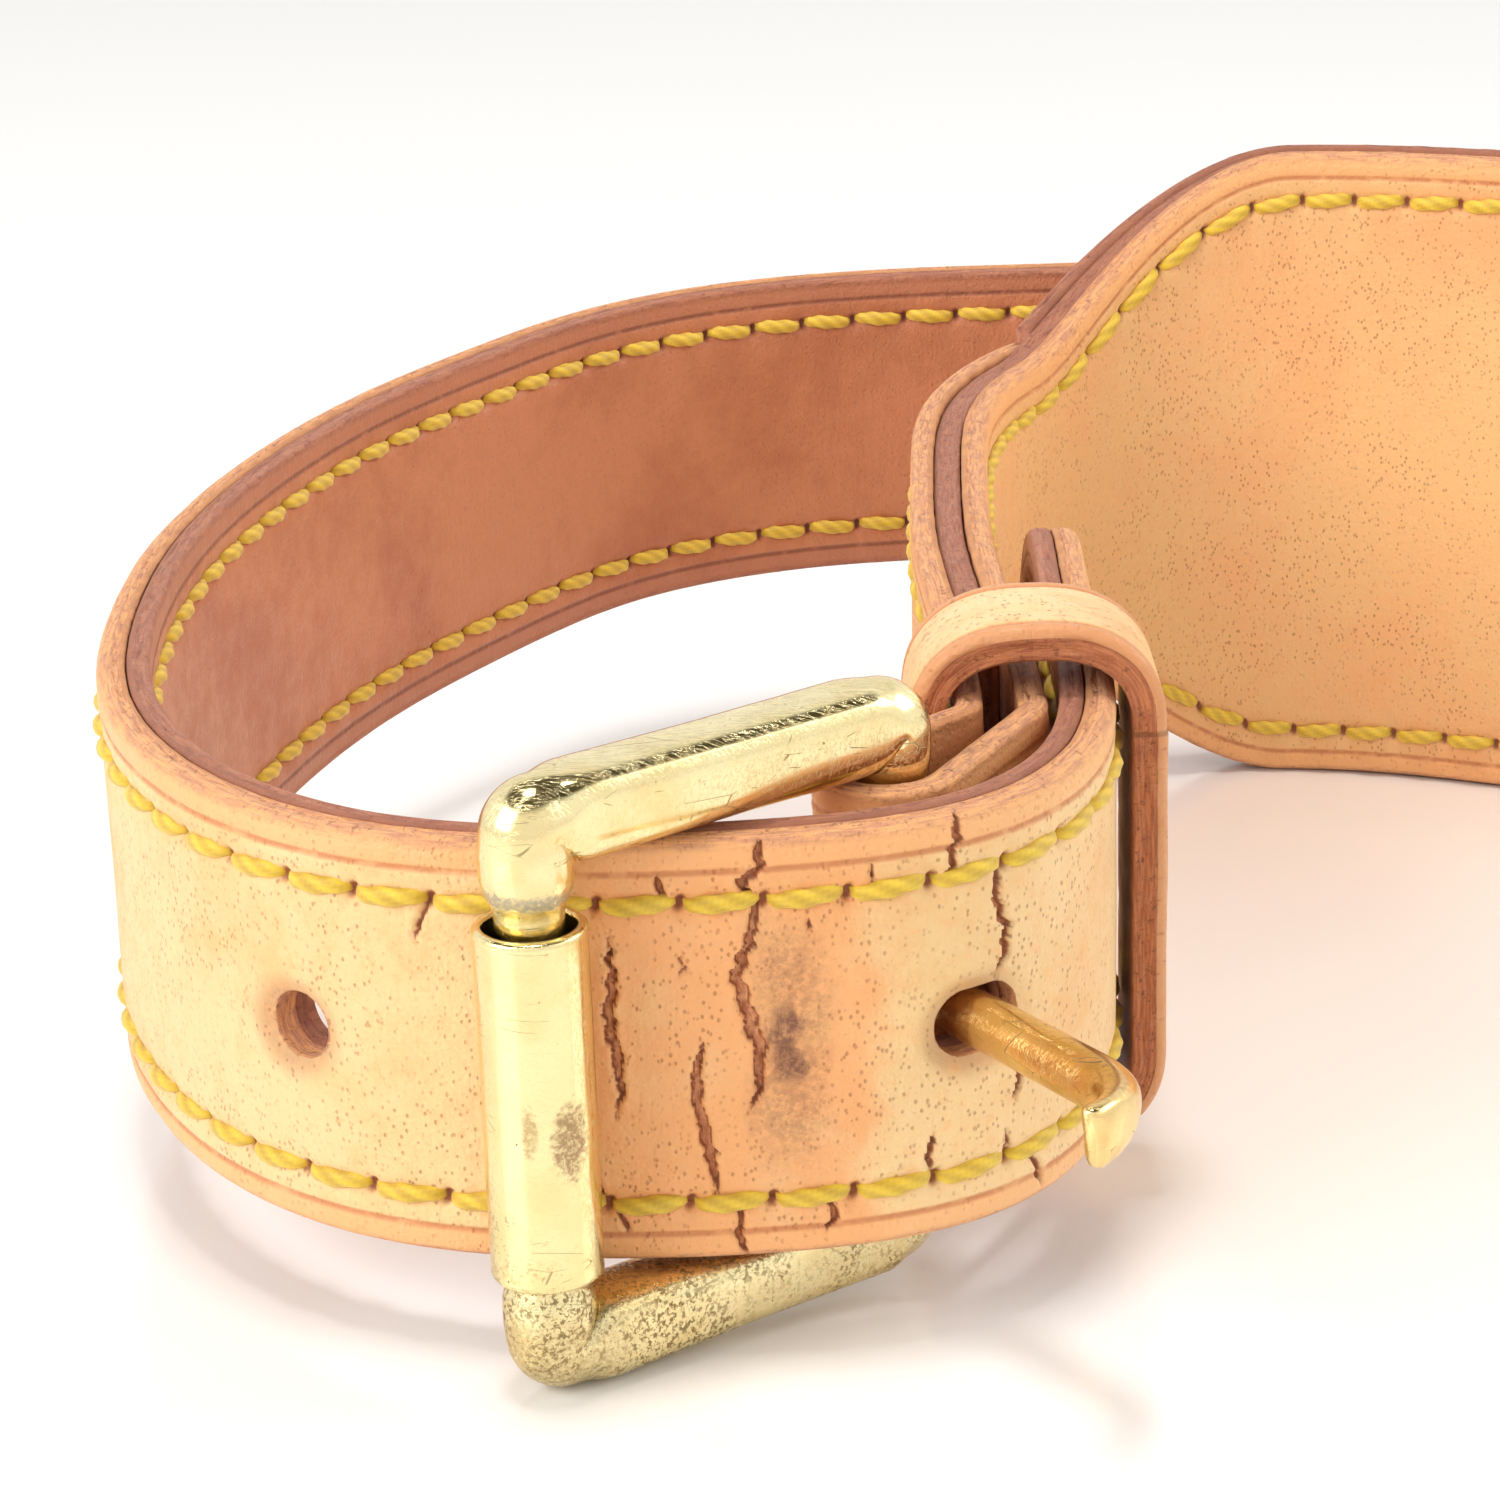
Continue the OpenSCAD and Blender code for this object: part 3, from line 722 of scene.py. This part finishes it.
def chape_piece():
    """Folded leather: outer leg under the panel's leather, round the heel bar, up the neck's inside."""
    start = beside(np.array([1.6, 0.0]), np.array([2.85, 2.85]))
    a = np.radians(np.linspace(-36, -220, 44))
    arc = HEEL + (CURL_R - CURL_T / 2) * np.stack([np.cos(a), np.sin(a)], -1)
    legs = np.arange(0, PANEL_FROM + 6, 0.6)
    inner = beside(legs, np.full(len(legs), -LINING_T / 2))
    route = np.vstack([start, arc, inner])
    route = route[np.r_[True, np.linalg.norm(np.diff(route, axis=0), axis=1) > 1e-3]]
    length = np.r_[0, np.cumsum(np.linalg.norm(np.diff(route, axis=0), axis=1))]
    q = np.arange(0, length[-1], 0.45)
    path = np.stack([np.interp(q, length, route[:, 0]), np.interp(q, length, route[:, 1])], -1)
    reach = np.linalg.norm(path - HEEL, axis=1)[1:-1, None]
    bends = (reach > CURL_R) & (reach < 9.0)
    for i in range(24):
        softer = (path[:-2] + 2 * path[1:-1] + path[2:]) / 4
        path[1:-1] = np.where(bends | (i < 2), softer, path[1:-1])
    d = unit(np.gradient(path, axis=0))
    normal = np.stack([d[:, 1], -d[:, 0]], -1)
    side = np.sign(np.sum((path[len(path) // 12] - HEEL) * normal[len(path) // 12]))
    normal = normal * side
    # Distances that line its needle holes up with the panel's
    leg_s = q - length[-1] + PANEL_FROM + 6
    obj = leather("chape_leather", path, normal, leg_s, np.full(len(q), STRAP_W / 2 - 0.02),
                  -0.75, 0.75 + 0.2, mid=34, seed=71, edge_r=0.5, creases=0.6)
    cut(obj, rod("cutter", [*HEEL, 0], [0, 0, 1], SLOT_R, SLOT_W))
    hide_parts("chape")
    return obj


def filler_pieces():
    s = fine_steps(3 * PITCH, BILLET_FROM, STEP)
    filler = leather("filler_leather", at(s), outward(s), s, half_height(s) - 0.45, 0.0, FACE_T,
                     mid=10, rows=False, creases=0, seed=91, edge_r=0.15, back_r=0.15)
    s = fine_steps(PANEL_FROM + 6, BILLET_FROM, STEP)
    lining = leather("panel_inner_leather", at(s), -outward(s), s, half_height(s) - 0.15, 0.0,
                     LINING_T, mid=50, seed=95, edge_r=0.5, creases=0.6)
    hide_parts("panel_filler")
    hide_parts("panel_lining")
    return filler, lining


# ---------------- stitches
THREAD_R = 0.56
STITCH_RINGS, STITCH_AROUND = 15, 12


def stitch_tube(a, b, lift, out, seed):
    """One twisted stitch from needle hole a to b, bowed out of the leather."""
    u = np.linspace(0, 1, STITCH_RINGS)
    rise = np.sin(u * math.pi) ** 0.45
    along = unit(b - a)
    mid = a + (b - a) * (0.05 + 0.9 * u)[:, None] + out * (lift * rise - 0.5 * (1 - rise))[:, None]
    side = np.cross(along, out)
    angle = np.arange(STITCH_AROUND) * 2 * math.pi / STITCH_AROUND
    swell = 0.62 + 0.38 * np.sin(u * math.pi) ** 0.6
    twist = angle[None, :] + 5.2 * u[:, None] + seed
    lobes = 1 + 0.1 * np.cos(3 * twist)
    r = THREAD_R * swell[:, None] * lobes
    offset = (r * np.cos(angle))[..., None] * side + (r * 0.86 * np.sin(angle))[..., None] * out
    verts = mid[:, None, :] + offset
    # The third value, how far the twist's grooves sink, sets the thread's painted groove shade.
    strap = np.stack([np.broadcast_to((u * PITCH + seed * 7)[:, None], r.shape),
                      np.broadcast_to(angle[None, :], r.shape),
                      THREAD_R * swell[:, None] * 1.13 - r], -1)
    return verts.reshape(-1, 3), strap.reshape(-1, 3)


def row_spots(k0, k1, off, face, up):
    """Ends and outward ways of the stitches from k0 to k1."""
    spots = []
    slant = 0.2
    for k in range(k0, k1):
        pair = []
        for i, q in enumerate((k * PITCH, (k + 1) * PITCH)):
            z = up * (half_height(q) - ROW_INSET) + slant * (1 if i else -1)
            pair.append(np.array([*beside(q, off), float(z)]))
        out = np.array([*outward((k + 0.5) * PITCH), 0]) * face
        spots.append((*pair, out))
    return spots


def thread_piece(name, spots, nodes, mat, lift=0.16):
    verts, strap, faces, base = [], [], [], 0
    for i, (a, b, out) in enumerate(spots):
        v, t = stitch_tube(a, b, lift, out, (i * 0.618) % 1 * 6.28)
        faces += [[n + base for n in f] for f in ring_faces(STITCH_RINGS, STITCH_AROUND)]
        verts.append(v)
        strap.append(t)
        base += len(v)
    obj = make_mesh(name, placed(np.vstack(verts)), faces, {"strap": np.vstack(strap)})
    obj.data.materials.append(mat)
    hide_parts(*nodes)
    return obj


def upright_spots(place, out):
    """Three stitches above each other at a place."""
    return [(np.array([*place, z - PITCH / 2]), np.array([*place, z + PITCH / 2]), out)
            for z in (-PITCH, 0, PITCH)]


def cross_spots(s, offs):
    return [spot for off, face in offs
            for spot in upright_spots(beside(s, off), np.array([*outward(s), 0]) * face)]


def stitches(mat):
    panel_to, billet_from = NECK_N + PANEL_N, NECK_N + PANEL_N - SPLICE_N
    tip_from = COUNT - round(TIP_L / PITCH)
    pieces = []
    for word, up in (("upper", 1), ("lower", -1)):
        rows = row_spots(1, panel_to, 2 * FACE_T - 0.2, 1, up)
        rows += row_spots(0, billet_from - 1, -LINING_T + 0.2, -1, up)
        pieces.append(thread_piece(f"panel_{word}_thread", rows, [f"panel_{word}_stitches"], mat))
        rows = row_spots(panel_to + 1, tip_from, FACE_T - 0.2, 1, up)
        rows += row_spots(billet_from + 1, tip_from, -LINING_T + 0.2, -1, up)
        pieces.append(thread_piece(f"billet_{word}_thread", rows, [f"billet_{word}_stitches"], mat))
    inner, outer, deep = (-LINING_T + 0.15, -1), (FACE_T - 0.15, 1), (2 * FACE_T - 0.15, 1)
    tip = cross_spots((tip_from + 1.5) * PITCH, [inner, outer])
    splice = cross_spots((panel_to - 0.5) * PITCH, [inner, deep])
    bar = cross_spots(3.5 * PITCH, [inner, deep])
    pieces.append(thread_piece("tip_thread", tip, ["billet_tip_stitches"], mat))
    pieces.append(thread_piece("splice_thread", splice, ["splice_stitches"], mat))
    pieces.append(thread_piece("chape_thread", bar, ["chape_stitches"], mat))
    for piece in pieces:
        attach(piece, "strap")


# ---------------- keeper
KEEPER_Y, KEEPER_W, KEEPER_T, KEEPER_GAP = -33.0, 9.0, 2.1, 0.6
NECK_SLACK = 0.35
KEEPER_CREASE_D = 1.15
ARCH_FROM, ARCH_RISE, ARCH_POWER = 10.1, 4.6, 2.6


def keeper_sides():
    """Inner faces of the keeper along X, from the neck's inner face and the billet's outer face."""
    s = np.linspace(0, TOTAL, 6000)
    x, y = at(s).T
    level = np.abs(y - KEEPER_Y)
    neck = s[np.argmin(np.where(s < TOTAL / 4, level, 1e9))]
    tip = s[np.argmin(np.where(s > TOTAL - 60, level, 1e9))]
    return (float(beside(neck, -LINING_T)[0]) - KEEPER_GAP - NECK_SLACK,
            float(beside(tip, FACE_T)[0]) + KEEPER_GAP)


def keeper_piece(mat):
    """Band with an arched top and bottom, creased near both rims."""
    lo, hi = keeper_sides()
    cx, hw = (lo + hi) / 2, (hi - lo) / 2
    around = 220
    a = np.linspace(0, math.pi, 160)
    arch = np.stack([hw * np.sign(np.cos(a)) * np.abs(np.cos(a)) ** (2 / ARCH_POWER),
                     ARCH_FROM + ARCH_RISE * np.sin(a) ** (2 / ARCH_POWER)], -1)
    pts = np.vstack([arch, -arch, arch[:1]])
    run = np.r_[0, np.cumsum(np.linalg.norm(np.diff(pts, axis=0), axis=1))]
    q = np.linspace(0, run[-1], around, endpoint=False)
    ring = np.stack([np.interp(q, run, pts[:, 0]), np.interp(q, run, pts[:, 1])], -1)
    d = unit(np.roll(ring, -1, 0) - np.roll(ring, 1, 0))
    out = np.stack([d[:, 1], -d[:, 0]], -1)
    w = KEEPER_W / 2
    rim = np.array([0, .06, .2, .4, .65, .9, 1.05, 1.15, 1.25, 1.4, 1.7])
    across = np.r_[rim - w, np.linspace(2.2 - w, w - 2.2, 12), (w - rim)[::-1]]
    far = w - np.abs(across)
    top = KEEPER_T - rounded(far, 0.6) - 0.17 * np.exp(-((far - KEEPER_CREASE_D) / 0.17) ** 2)
    side = np.linspace(0, 1, 12)[1:-1]
    back = across[::-1][::3]
    ones = np.ones(len(side))
    prof_y = np.r_[across, w * ones, back, -w * ones]
    prof_n = np.r_[top, top[-1] * (1 - side), np.zeros(len(back)), top[0] * side]
    kind = np.r_[np.zeros(len(across)), ones, np.full(len(back), 2), ones]
    n_all = np.broadcast_to(prof_n, (around, len(prof_n))).copy()
    y_all = np.broadcast_to(prof_y, n_all.shape).copy()
    qq = np.broadcast_to(q[:, None], n_all.shape)
    n_all += 0.06 * lump(qq / 5, y_all / 4, seed=3) * (n_all > 0.3)
    ridge = 0.1 * np.exp(-((n_all - 0.75) / 0.2) ** 2) * np.sign(y_all)
    y_all += np.where(kind == 1, 0.12 * lump(qq / 0.8, n_all * 2.2, seed=5) - ridge, 0)
    n_all = np.maximum(n_all, 0.05 * lump(qq / 0.6, y_all, seed=6))
    xz = ring[:, None, :] + n_all[..., None] * out[:, None, :]
    verts = np.stack([cx + xz[..., 0], KEEPER_Y + y_all, xz[..., 1]], -1).reshape(-1, 3)
    faces = wrapped_faces(around, len(prof_n))
    strap = np.stack([qq, y_all, KEEPER_T - n_all], -1).reshape(-1, 3)
    marks = np.stack([np.zeros_like(qq), np.maximum(w - np.abs(y_all), 0) + CREASE_D - KEEPER_CREASE_D,
                      np.broadcast_to(kind, qq.shape)], -1).reshape(-1, 3)
    obj = make_mesh("keeper_leather", placed(verts), faces.tolist(), {"strap": strap, "marks": marks})
    obj.data.materials.append(mat)
    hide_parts("keeper_band")
    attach(obj, "keeper")
    return lo


def keeper_thread(lo, mat):
    spots = upright_spots([lo - KEEPER_T - 0.02, KEEPER_Y], np.array([-1.0, 0, 0]))
    obj = thread_piece("keeper_thread", spots, ["keeper_stitches"], mat, 0.1)
    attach(obj, "keeper")


# ---------------- brass
BAR_PITCH, SIDE_BAR, SIDE_Z = 24.2, 5.0, 15.3
SHOULDER_Z = SIDE_Z - SIDE_BAR / 2 - 1.9


def in_plane(local, turn):
    """Points given from the heel bar, with +X along a way, in the collar's plane."""
    c, s = math.cos(turn), math.sin(turn)
    local = np.asarray(local, float)
    x = HEEL[0] + c * local[..., 0] - s * local[..., 1]
    y = HEEL[1] + s * local[..., 0] + c * local[..., 1]
    return np.stack([x, y, local[..., 2]], -1)


def section(across, other, power, around):
    """Ring offsets of a bar's section: a superellipse with the given half sizes."""
    a = np.arange(around) * 2 * math.pi / around
    f = (np.abs(np.cos(a)) ** power + np.abs(np.sin(a)) ** power) ** (-1 / power)
    return across * f * np.cos(a), other * f * np.sin(a)


def tube(route, across, other=None, power=2.0, around=32, closed=False):
    """A bar swept along a route in the buckle's plane (Y constant or Z constant)."""
    route = np.asarray(route, float)
    n = len(route)
    across = np.broadcast_to(across, n)
    other = across if other is None else np.broadcast_to(other, n)
    power = np.broadcast_to(power, n)
    if closed:
        d = np.roll(route, -1, 0) - np.roll(route, 1, 0)
    else:
        d = np.gradient(route, axis=0)
    d = unit(d)
    up = np.array([0, 1.0, 0]) if np.ptp(route[:, 1]) < 1e-6 else np.array([0, 0, 1.0])
    rings = []
    for p, w, ra, rb, k in zip(route, d, across, other, power):
        side = unit(np.cross(w, up))
        u, v = section(ra, rb, k, around)
        rings.append(p + u[:, None] * side + v[:, None] * np.cross(side, w))
    faces = ring_faces(n, around, closed=not closed)
    if closed:
        last = (n - 1) * around
        faces += [[last + j, last + (j + 1) % around, (j + 1) % around, j] for j in range(around)]
    return np.array(rings), faces


CORNER_R = 0.7
POST_R, CONE_R, NECK_R, HEEL_R = 2.6, 2.15, 1.9, 2.3


FRAME_CORNERS = [np.array([x, 0.0, z]) for x, z in ((BAR_PITCH, SIDE_Z), (0.0, SIDE_Z),
                                                    (0.0, -SIDE_Z), (BAR_PITCH, -SIDE_Z))]


def sides_at(i):
    """The frame's sides that run into corner i and out of it."""
    c = FRAME_CORNERS[i]
    return c - FRAME_CORNERS[i - 1], FRAME_CORNERS[(i + 1) % 4] - c


def frame_route():
    """The frame's closed centre line, with a note of the corner each point is nearest to."""
    pts, near = [], []
    for i, c in enumerate(FRAME_CORNERS):
        into, out = sides_at(i)
        u, v = unit(into), unit(out)
        for q in np.arange(np.linalg.norm(into) / 2, CORNER_R, -0.3):
            pts.append(c - u * q)
            near.append((i, -1))
        centre = c - u * CORNER_R + v * CORNER_R
        for w in np.linspace(0, 1, 13):
            a = w * math.pi / 2
            pts.append(centre - v * CORNER_R * math.cos(a) + u * CORNER_R * math.sin(a))
            near.append((i, -1 if w < 0.5 else 1))
        for q in np.arange(CORNER_R + 0.3, np.linalg.norm(out) / 2 - 0.1, 0.3):
            pts.append(c + v * q)
            near.append((i, 1))
    return np.array(pts), near


def frame_piece(mat):
    """Cast frame: one bar bent round four corners, waisted under the roller and at the heel."""
    route, near = frame_route()
    x, z = route[:, 0], np.abs(route[:, 2])
    upright = z < SIDE_Z - 1
    cone = CONE_R + (POST_R - CONE_R) * np.clip((z - SHOULDER_Z - 0.1) / 1.2, 0, 1)
    post = NECK_R + (cone - NECK_R) * ease((z - SHOULDER_Z + 0.2) / 0.25)
    heel = HEEL_R + 0.2 * ease((z - SHOULDER_Z - 1.4) / 0.8)
    bar = SIDE_BAR / 2 * (1 - 0.03 * np.cos((x - BAR_PITCH / 2) / BAR_PITCH * math.pi) ** 2)
    inward = np.where(upright & (x < 1.2), heel, bar)
    inward = np.where(upright & (x > BAR_PITCH - 1.2), post, inward)
    for _ in range(2):
        inward = (np.roll(inward, 1) + 2 * inward + np.roll(inward, -1)) / 4
    on_bar = ease((x - 0.4) / 2.0) * ease((BAR_PITCH - 0.9 - x) / 2.4) * (z > SIDE_Z - 1)
    rings, faces = tube(route, inward, power=2 + 2.0 * on_bar, around=48, closed=True)
    for ring, (i, side) in zip(rings, near):
        u, v = map(unit, sides_at(i))
        m = (u + v) / math.sqrt(2)
        over = (ring - FRAME_CORNERS[i]) @ m
        if side < 0:
            ring -= np.maximum(over, 0)[:, None] * u / (u @ m)
        else:
            ring -= np.minimum(over, 0)[:, None] * v / (v @ m)
    verts = rings.reshape(-1, 3)
    centre = np.repeat(route, rings.shape[1], axis=0)
    out = unit(verts - centre)
    verts = verts + out * 0.012 * lump(verts[:, 0] / 3, verts[:, 1] / 2, verts[:, 2] / 3, seed=61)[:, None]
    obj = make_mesh("buckle_casting", placed(in_plane(verts, TO_ROLLER)), faces)
    obj.data.materials.append(mat)
    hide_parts("buckle_frame")
    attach(obj, "buckle")


ROLLER_R, ROLLER_WALL, ROLLER_L, ROLLER_GAP = 3.1, 0.5, 20.4, 0.1


def roller_piece(mat):
    """Rolled tube with eased rims and a seam line down its inner side."""
    lo, length, r_out, wall = ROLLER_GAP - SHOULDER_Z, ROLLER_L, ROLLER_R, ROLLER_WALL
    outer = [(0, r_out - wall), (0.0, r_out - 0.3), (0.05, r_out - 0.12), (0.18, r_out), (0.4, r_out)]
    mids = [(t, r_out) for t in np.linspace(0.8, length - 0.8, 40)]
    other = [(length - t, r) for t, r in outer[::-1]]
    inner = [(t, r_out - wall) for t in np.linspace(length - 0.3, 0.3, 20)]
    prof = np.array(outer + mids + other + inner)
    around = 96
    a = np.arange(around) * 2 * math.pi / around
    t = prof[:, 0][None, :]
    r = prof[:, 1][None, :] + 0.035 * lump(a[:, None] * 1.4, t / 3.0, seed=21)
    r = r - 0.09 * np.exp(-((a[:, None] - math.pi) / 0.05) ** 2)
    verts = np.stack([BAR_PITCH + r * np.cos(a)[:, None], r * np.sin(a)[:, None],
                      np.broadcast_to(lo + t, r.shape)], -1).reshape(-1, 3)
    faces = wrapped_faces(around, len(prof))[:, [0, 3, 2, 1]]
    obj = make_mesh("roller_tube", placed(in_plane(verts, TO_ROLLER)), faces.tolist())
    obj.data.materials.append(mat)
    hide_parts("roller")
    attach(obj, "roller")


PRONG_R, PRONG_L, HOOK_R = 1.55, 18.5, 5.6
EYE_R, EYE_T, EYE_W = 3.13, 0.77, 1.8


def prong_piece(mat):
    """Eye bent round the heel bar, a straight shank and a hooked end beaten flat."""
    a = np.radians(np.linspace(265, -30, 60))
    eye = np.stack([EYE_R * np.cos(a), EYE_R * np.sin(a), np.zeros_like(a)], -1)
    shank = np.stack([np.linspace(3.0, PRONG_L - 0.2, 60), np.zeros(60), np.zeros(60)], -1)
    h = np.radians(np.linspace(90, 12, 30))
    hook = np.stack([PRONG_L + HOOK_R * np.cos(h), -HOOK_R + HOOK_R * np.sin(h), np.zeros_like(h)], -1)
    route = np.vstack([shank, hook])
    run = np.r_[0, np.cumsum(np.linalg.norm(np.diff(route, axis=0), axis=1))]
    end = run[-1] - run
    flat = ease((6.2 - end) / 5.5)
    close = 0.5 + 0.5 * ease(end / 0.35)
    v1, f1 = tube(route, PRONG_R * (1 - 0.52 * flat) * close,
                  PRONG_R * (1 + 0.14 * flat) * (0.8 + 0.2 * close),
                  2 + 1.4 * flat, 36)
    v1[..., 1] -= 0.25 * np.maximum(v1[..., 2], 0) * ease((1.4 - end) / 1.4)[:, None]
    v2, f2 = tube(eye, EYE_T, EYE_W, 3.4, 32)
    base = v1.size // 3
    faces = f1 + [[n + base for n in f] for f in f2]
    verts = np.vstack([v1.reshape(-1, 3), v2.reshape(-1, 3)])
    obj = make_mesh("prong_casting", placed(in_plane(verts, TO_PRONG)), faces)
    obj.data.materials.append(mat)
    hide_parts("prong")
    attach(obj, "prong")


def millimetres(point):
    return tuple((placed([point])[0] / MM).tolist())


def build():
    face = leather_material("face_leather", PALE, WARM, RAW, EDGE, worn=True, line_color=LINE)
    panel = leather_material("panel_leather", WARM, PANEL_TAN, RAW, EDGE, seed=300.0, line_color=LINE)
    inner = leather_material("lining_leather", (0.60, 0.235, 0.11), (0.48, 0.165, 0.075),
                             (0.22, 0.065, 0.035), (0.50, 0.20, 0.11), seed=40.0, gloss=0.4,
                             pores=0.4, side=(0.34, 0.12, 0.075))
    keeper = leather_material("keeper_leather", PALE, (0.80, 0.45, 0.19),
                              (0.20, 0.045, 0.018), (0.60, 0.22, 0.085), seed=80.0, gloss=0.42,
                              side=(0.40, 0.12, 0.05), line_color=LINE)
    thread = thread_material()
    outer, lining = billet_pieces()
    for obj, mat, slot in ((outer, face, "face_leather"), (lining, inner, "lining_leather"),
                           (panel_outer(), panel, "face_leather"),
                           (chape_piece(), panel, "face_leather")):
        obj.data.materials.clear()
        obj.data.materials.append(mat)
        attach(obj, "strap")
    filler, panel_lining = filler_pieces()
    for obj, mat, slot in ((filler, inner, "filler_leather"), (panel_lining, inner, "lining_leather")):
        obj.data.materials.append(mat)
        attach(obj, "strap")
    stitches(thread)
    keeper_thread(keeper_piece(keeper), thread)
    ring = millimetres((*in_plane([BAR_PITCH, 0, SHOULDER_Z + 0.55], TO_ROLLER),))
    corner = millimetres((*in_plane([BAR_PITCH, 0, -SIDE_Z], TO_ROLLER),))
    brass = brass_material("frame_brass", (0.91, 0.79, 0.44), (0.85, 0.69, 0.34),
                           (0.20, 0.125, 0.045), 0.58,
                           patches=((ring, (6, 6, 0.55), (0.42, 0.38, 0.31), 0.8),
                                    (corner, (5, 5, 3.2), (0.42, 0.29, 0.13), 0.45)))
    worn = millimetres((-50.2, -65.0, -2.0))
    worn_low = millimetres((-52.3, -65.4, -1.2))
    tube_brass = brass_material("roller_brass", (0.89, 0.775, 0.41), (0.85, 0.71, 0.35),
                                (0.30, 0.18, 0.09), 0.35,
                                patches=((worn, (1.1, 1.6, 2.5), (0.34, 0.18, 0.10), 0.82),
                                         (worn_low, (0.5, 1.2, 1.6), (0.50, 0.32, 0.14), 0.7)))
    dark_brass = brass_material("prong_brass", (0.86, 0.64, 0.28), (0.74, 0.50, 0.2),
                                (0.16, 0.08, 0.03), 0.4, 0.17)
    frame_piece(brass)
    roller_piece(tube_brass)
    prong_piece(dark_brass)


# ---------------- camera, floor and light
CAM_PLAN, CAM_UP = np.array([-40.0, -258.0]), 90.37
CAM_TILT, CAM_ROLL = math.radians(20.07), math.radians(-1.887)
LENS = 96.4


def camera():
    ahead = np.array([0, math.cos(CAM_TILT), -math.sin(CAM_TILT)])
    right = np.array([1.0, 0, 0])
    up = np.cross(right, ahead)
    r2 = math.cos(CAM_ROLL) * right + math.sin(CAM_ROLL) * up
    u2 = -math.sin(CAM_ROLL) * right + math.cos(CAM_ROLL) * up
    data = bpy.data.cameras.new("camera")
    data.lens = LENS
    data.sensor_width = 36
    data.clip_start = 0.01
    data.clip_end = 20
    cam = bpy.data.objects.new("camera", data)
    bpy.context.scene.collection.objects.link(cam)
    axes = TURN @ np.column_stack([r2, u2, -ahead])
    place = placed([[*CAM_PLAN, CAM_UP]])[0]
    m = Matrix(axes.tolist()).to_4x4()
    m.translation = Vector(place)
    cam.matrix_world = m
    bpy.context.scene.camera = cam


def floor():
    g = Graph("white_table")
    coords = g.node("ShaderNodeTexCoord")
    haze = g.noise(coords.outputs["Object"], 6.0, 2.0)
    color = g.mix(haze, (0.90, 0.89, 0.885), (0.94, 0.935, 0.93))
    g.shader(color, 0.16)
    size = 3.0
    verts = [(-size, -size, 0), (size, -size, 0), (size, size, 0), (-size, size, 0)]
    obj = make_mesh("table_top", verts, [(0, 1, 2, 3)], smooth=False)
    obj.data.materials.append(g.mat)


def area(name, place, target, size, power, color=(1, 1, 1)):
    data = bpy.data.lights.new(name, "AREA")
    data.shape = "RECTANGLE"
    data.size, data.size_y = size
    data.energy = power
    data.color = color
    obj = bpy.data.objects.new(name, data)
    bpy.context.scene.collection.objects.link(obj)
    obj.location = place
    obj.rotation_euler = (Vector(target) - Vector(place)).to_track_quat("-Z", "Y").to_euler()


def light():
    """A bright tent with a dark gap overhead, a lamp in the gap and a soft box on each side."""
    bpy.context.scene.view_settings.view_transform = "Standard"
    world = bpy.data.worlds.new("studio")
    bpy.context.scene.world = world
    world.use_nodes = True
    tree = world.node_tree
    coords = tree.nodes.new("ShaderNodeTexCoord")
    split = tree.nodes.new("ShaderNodeSeparateXYZ")
    ramp = tree.nodes.new("ShaderNodeValToRGB")
    stops = ramp.color_ramp.elements
    stops[0].position, stops[0].color = 0.66, (1.0, 0.985, 0.97, 1)
    stops[1].position, stops[1].color = 0.80, (0.07, 0.06, 0.035, 1)
    tree.links.new(coords.outputs["Generated"], split.inputs[0])
    tree.links.new(split.outputs[2], ramp.inputs[0])
    tree.links.new(ramp.outputs[0], tree.nodes["Background"].inputs[0])
    tree.nodes["Background"].inputs[1].default_value = 1.05
    area("key", (-0.08, -0.06, 0.8), (0, 0, 0.02), (0.16, 0.16), 2.6)
    area("left_box", (-0.62, -0.42, 0.42), (0, 0, 0.02), (0.6, 0.5), 4.1, (1, 0.98, 0.95))
    area("right_box", (0.7, 0.1, 0.5), (-0.03, 0, 0.02), (0.5, 0.4), 2.4, (1, 0.98, 0.95))


build()
camera()
floor()
light()
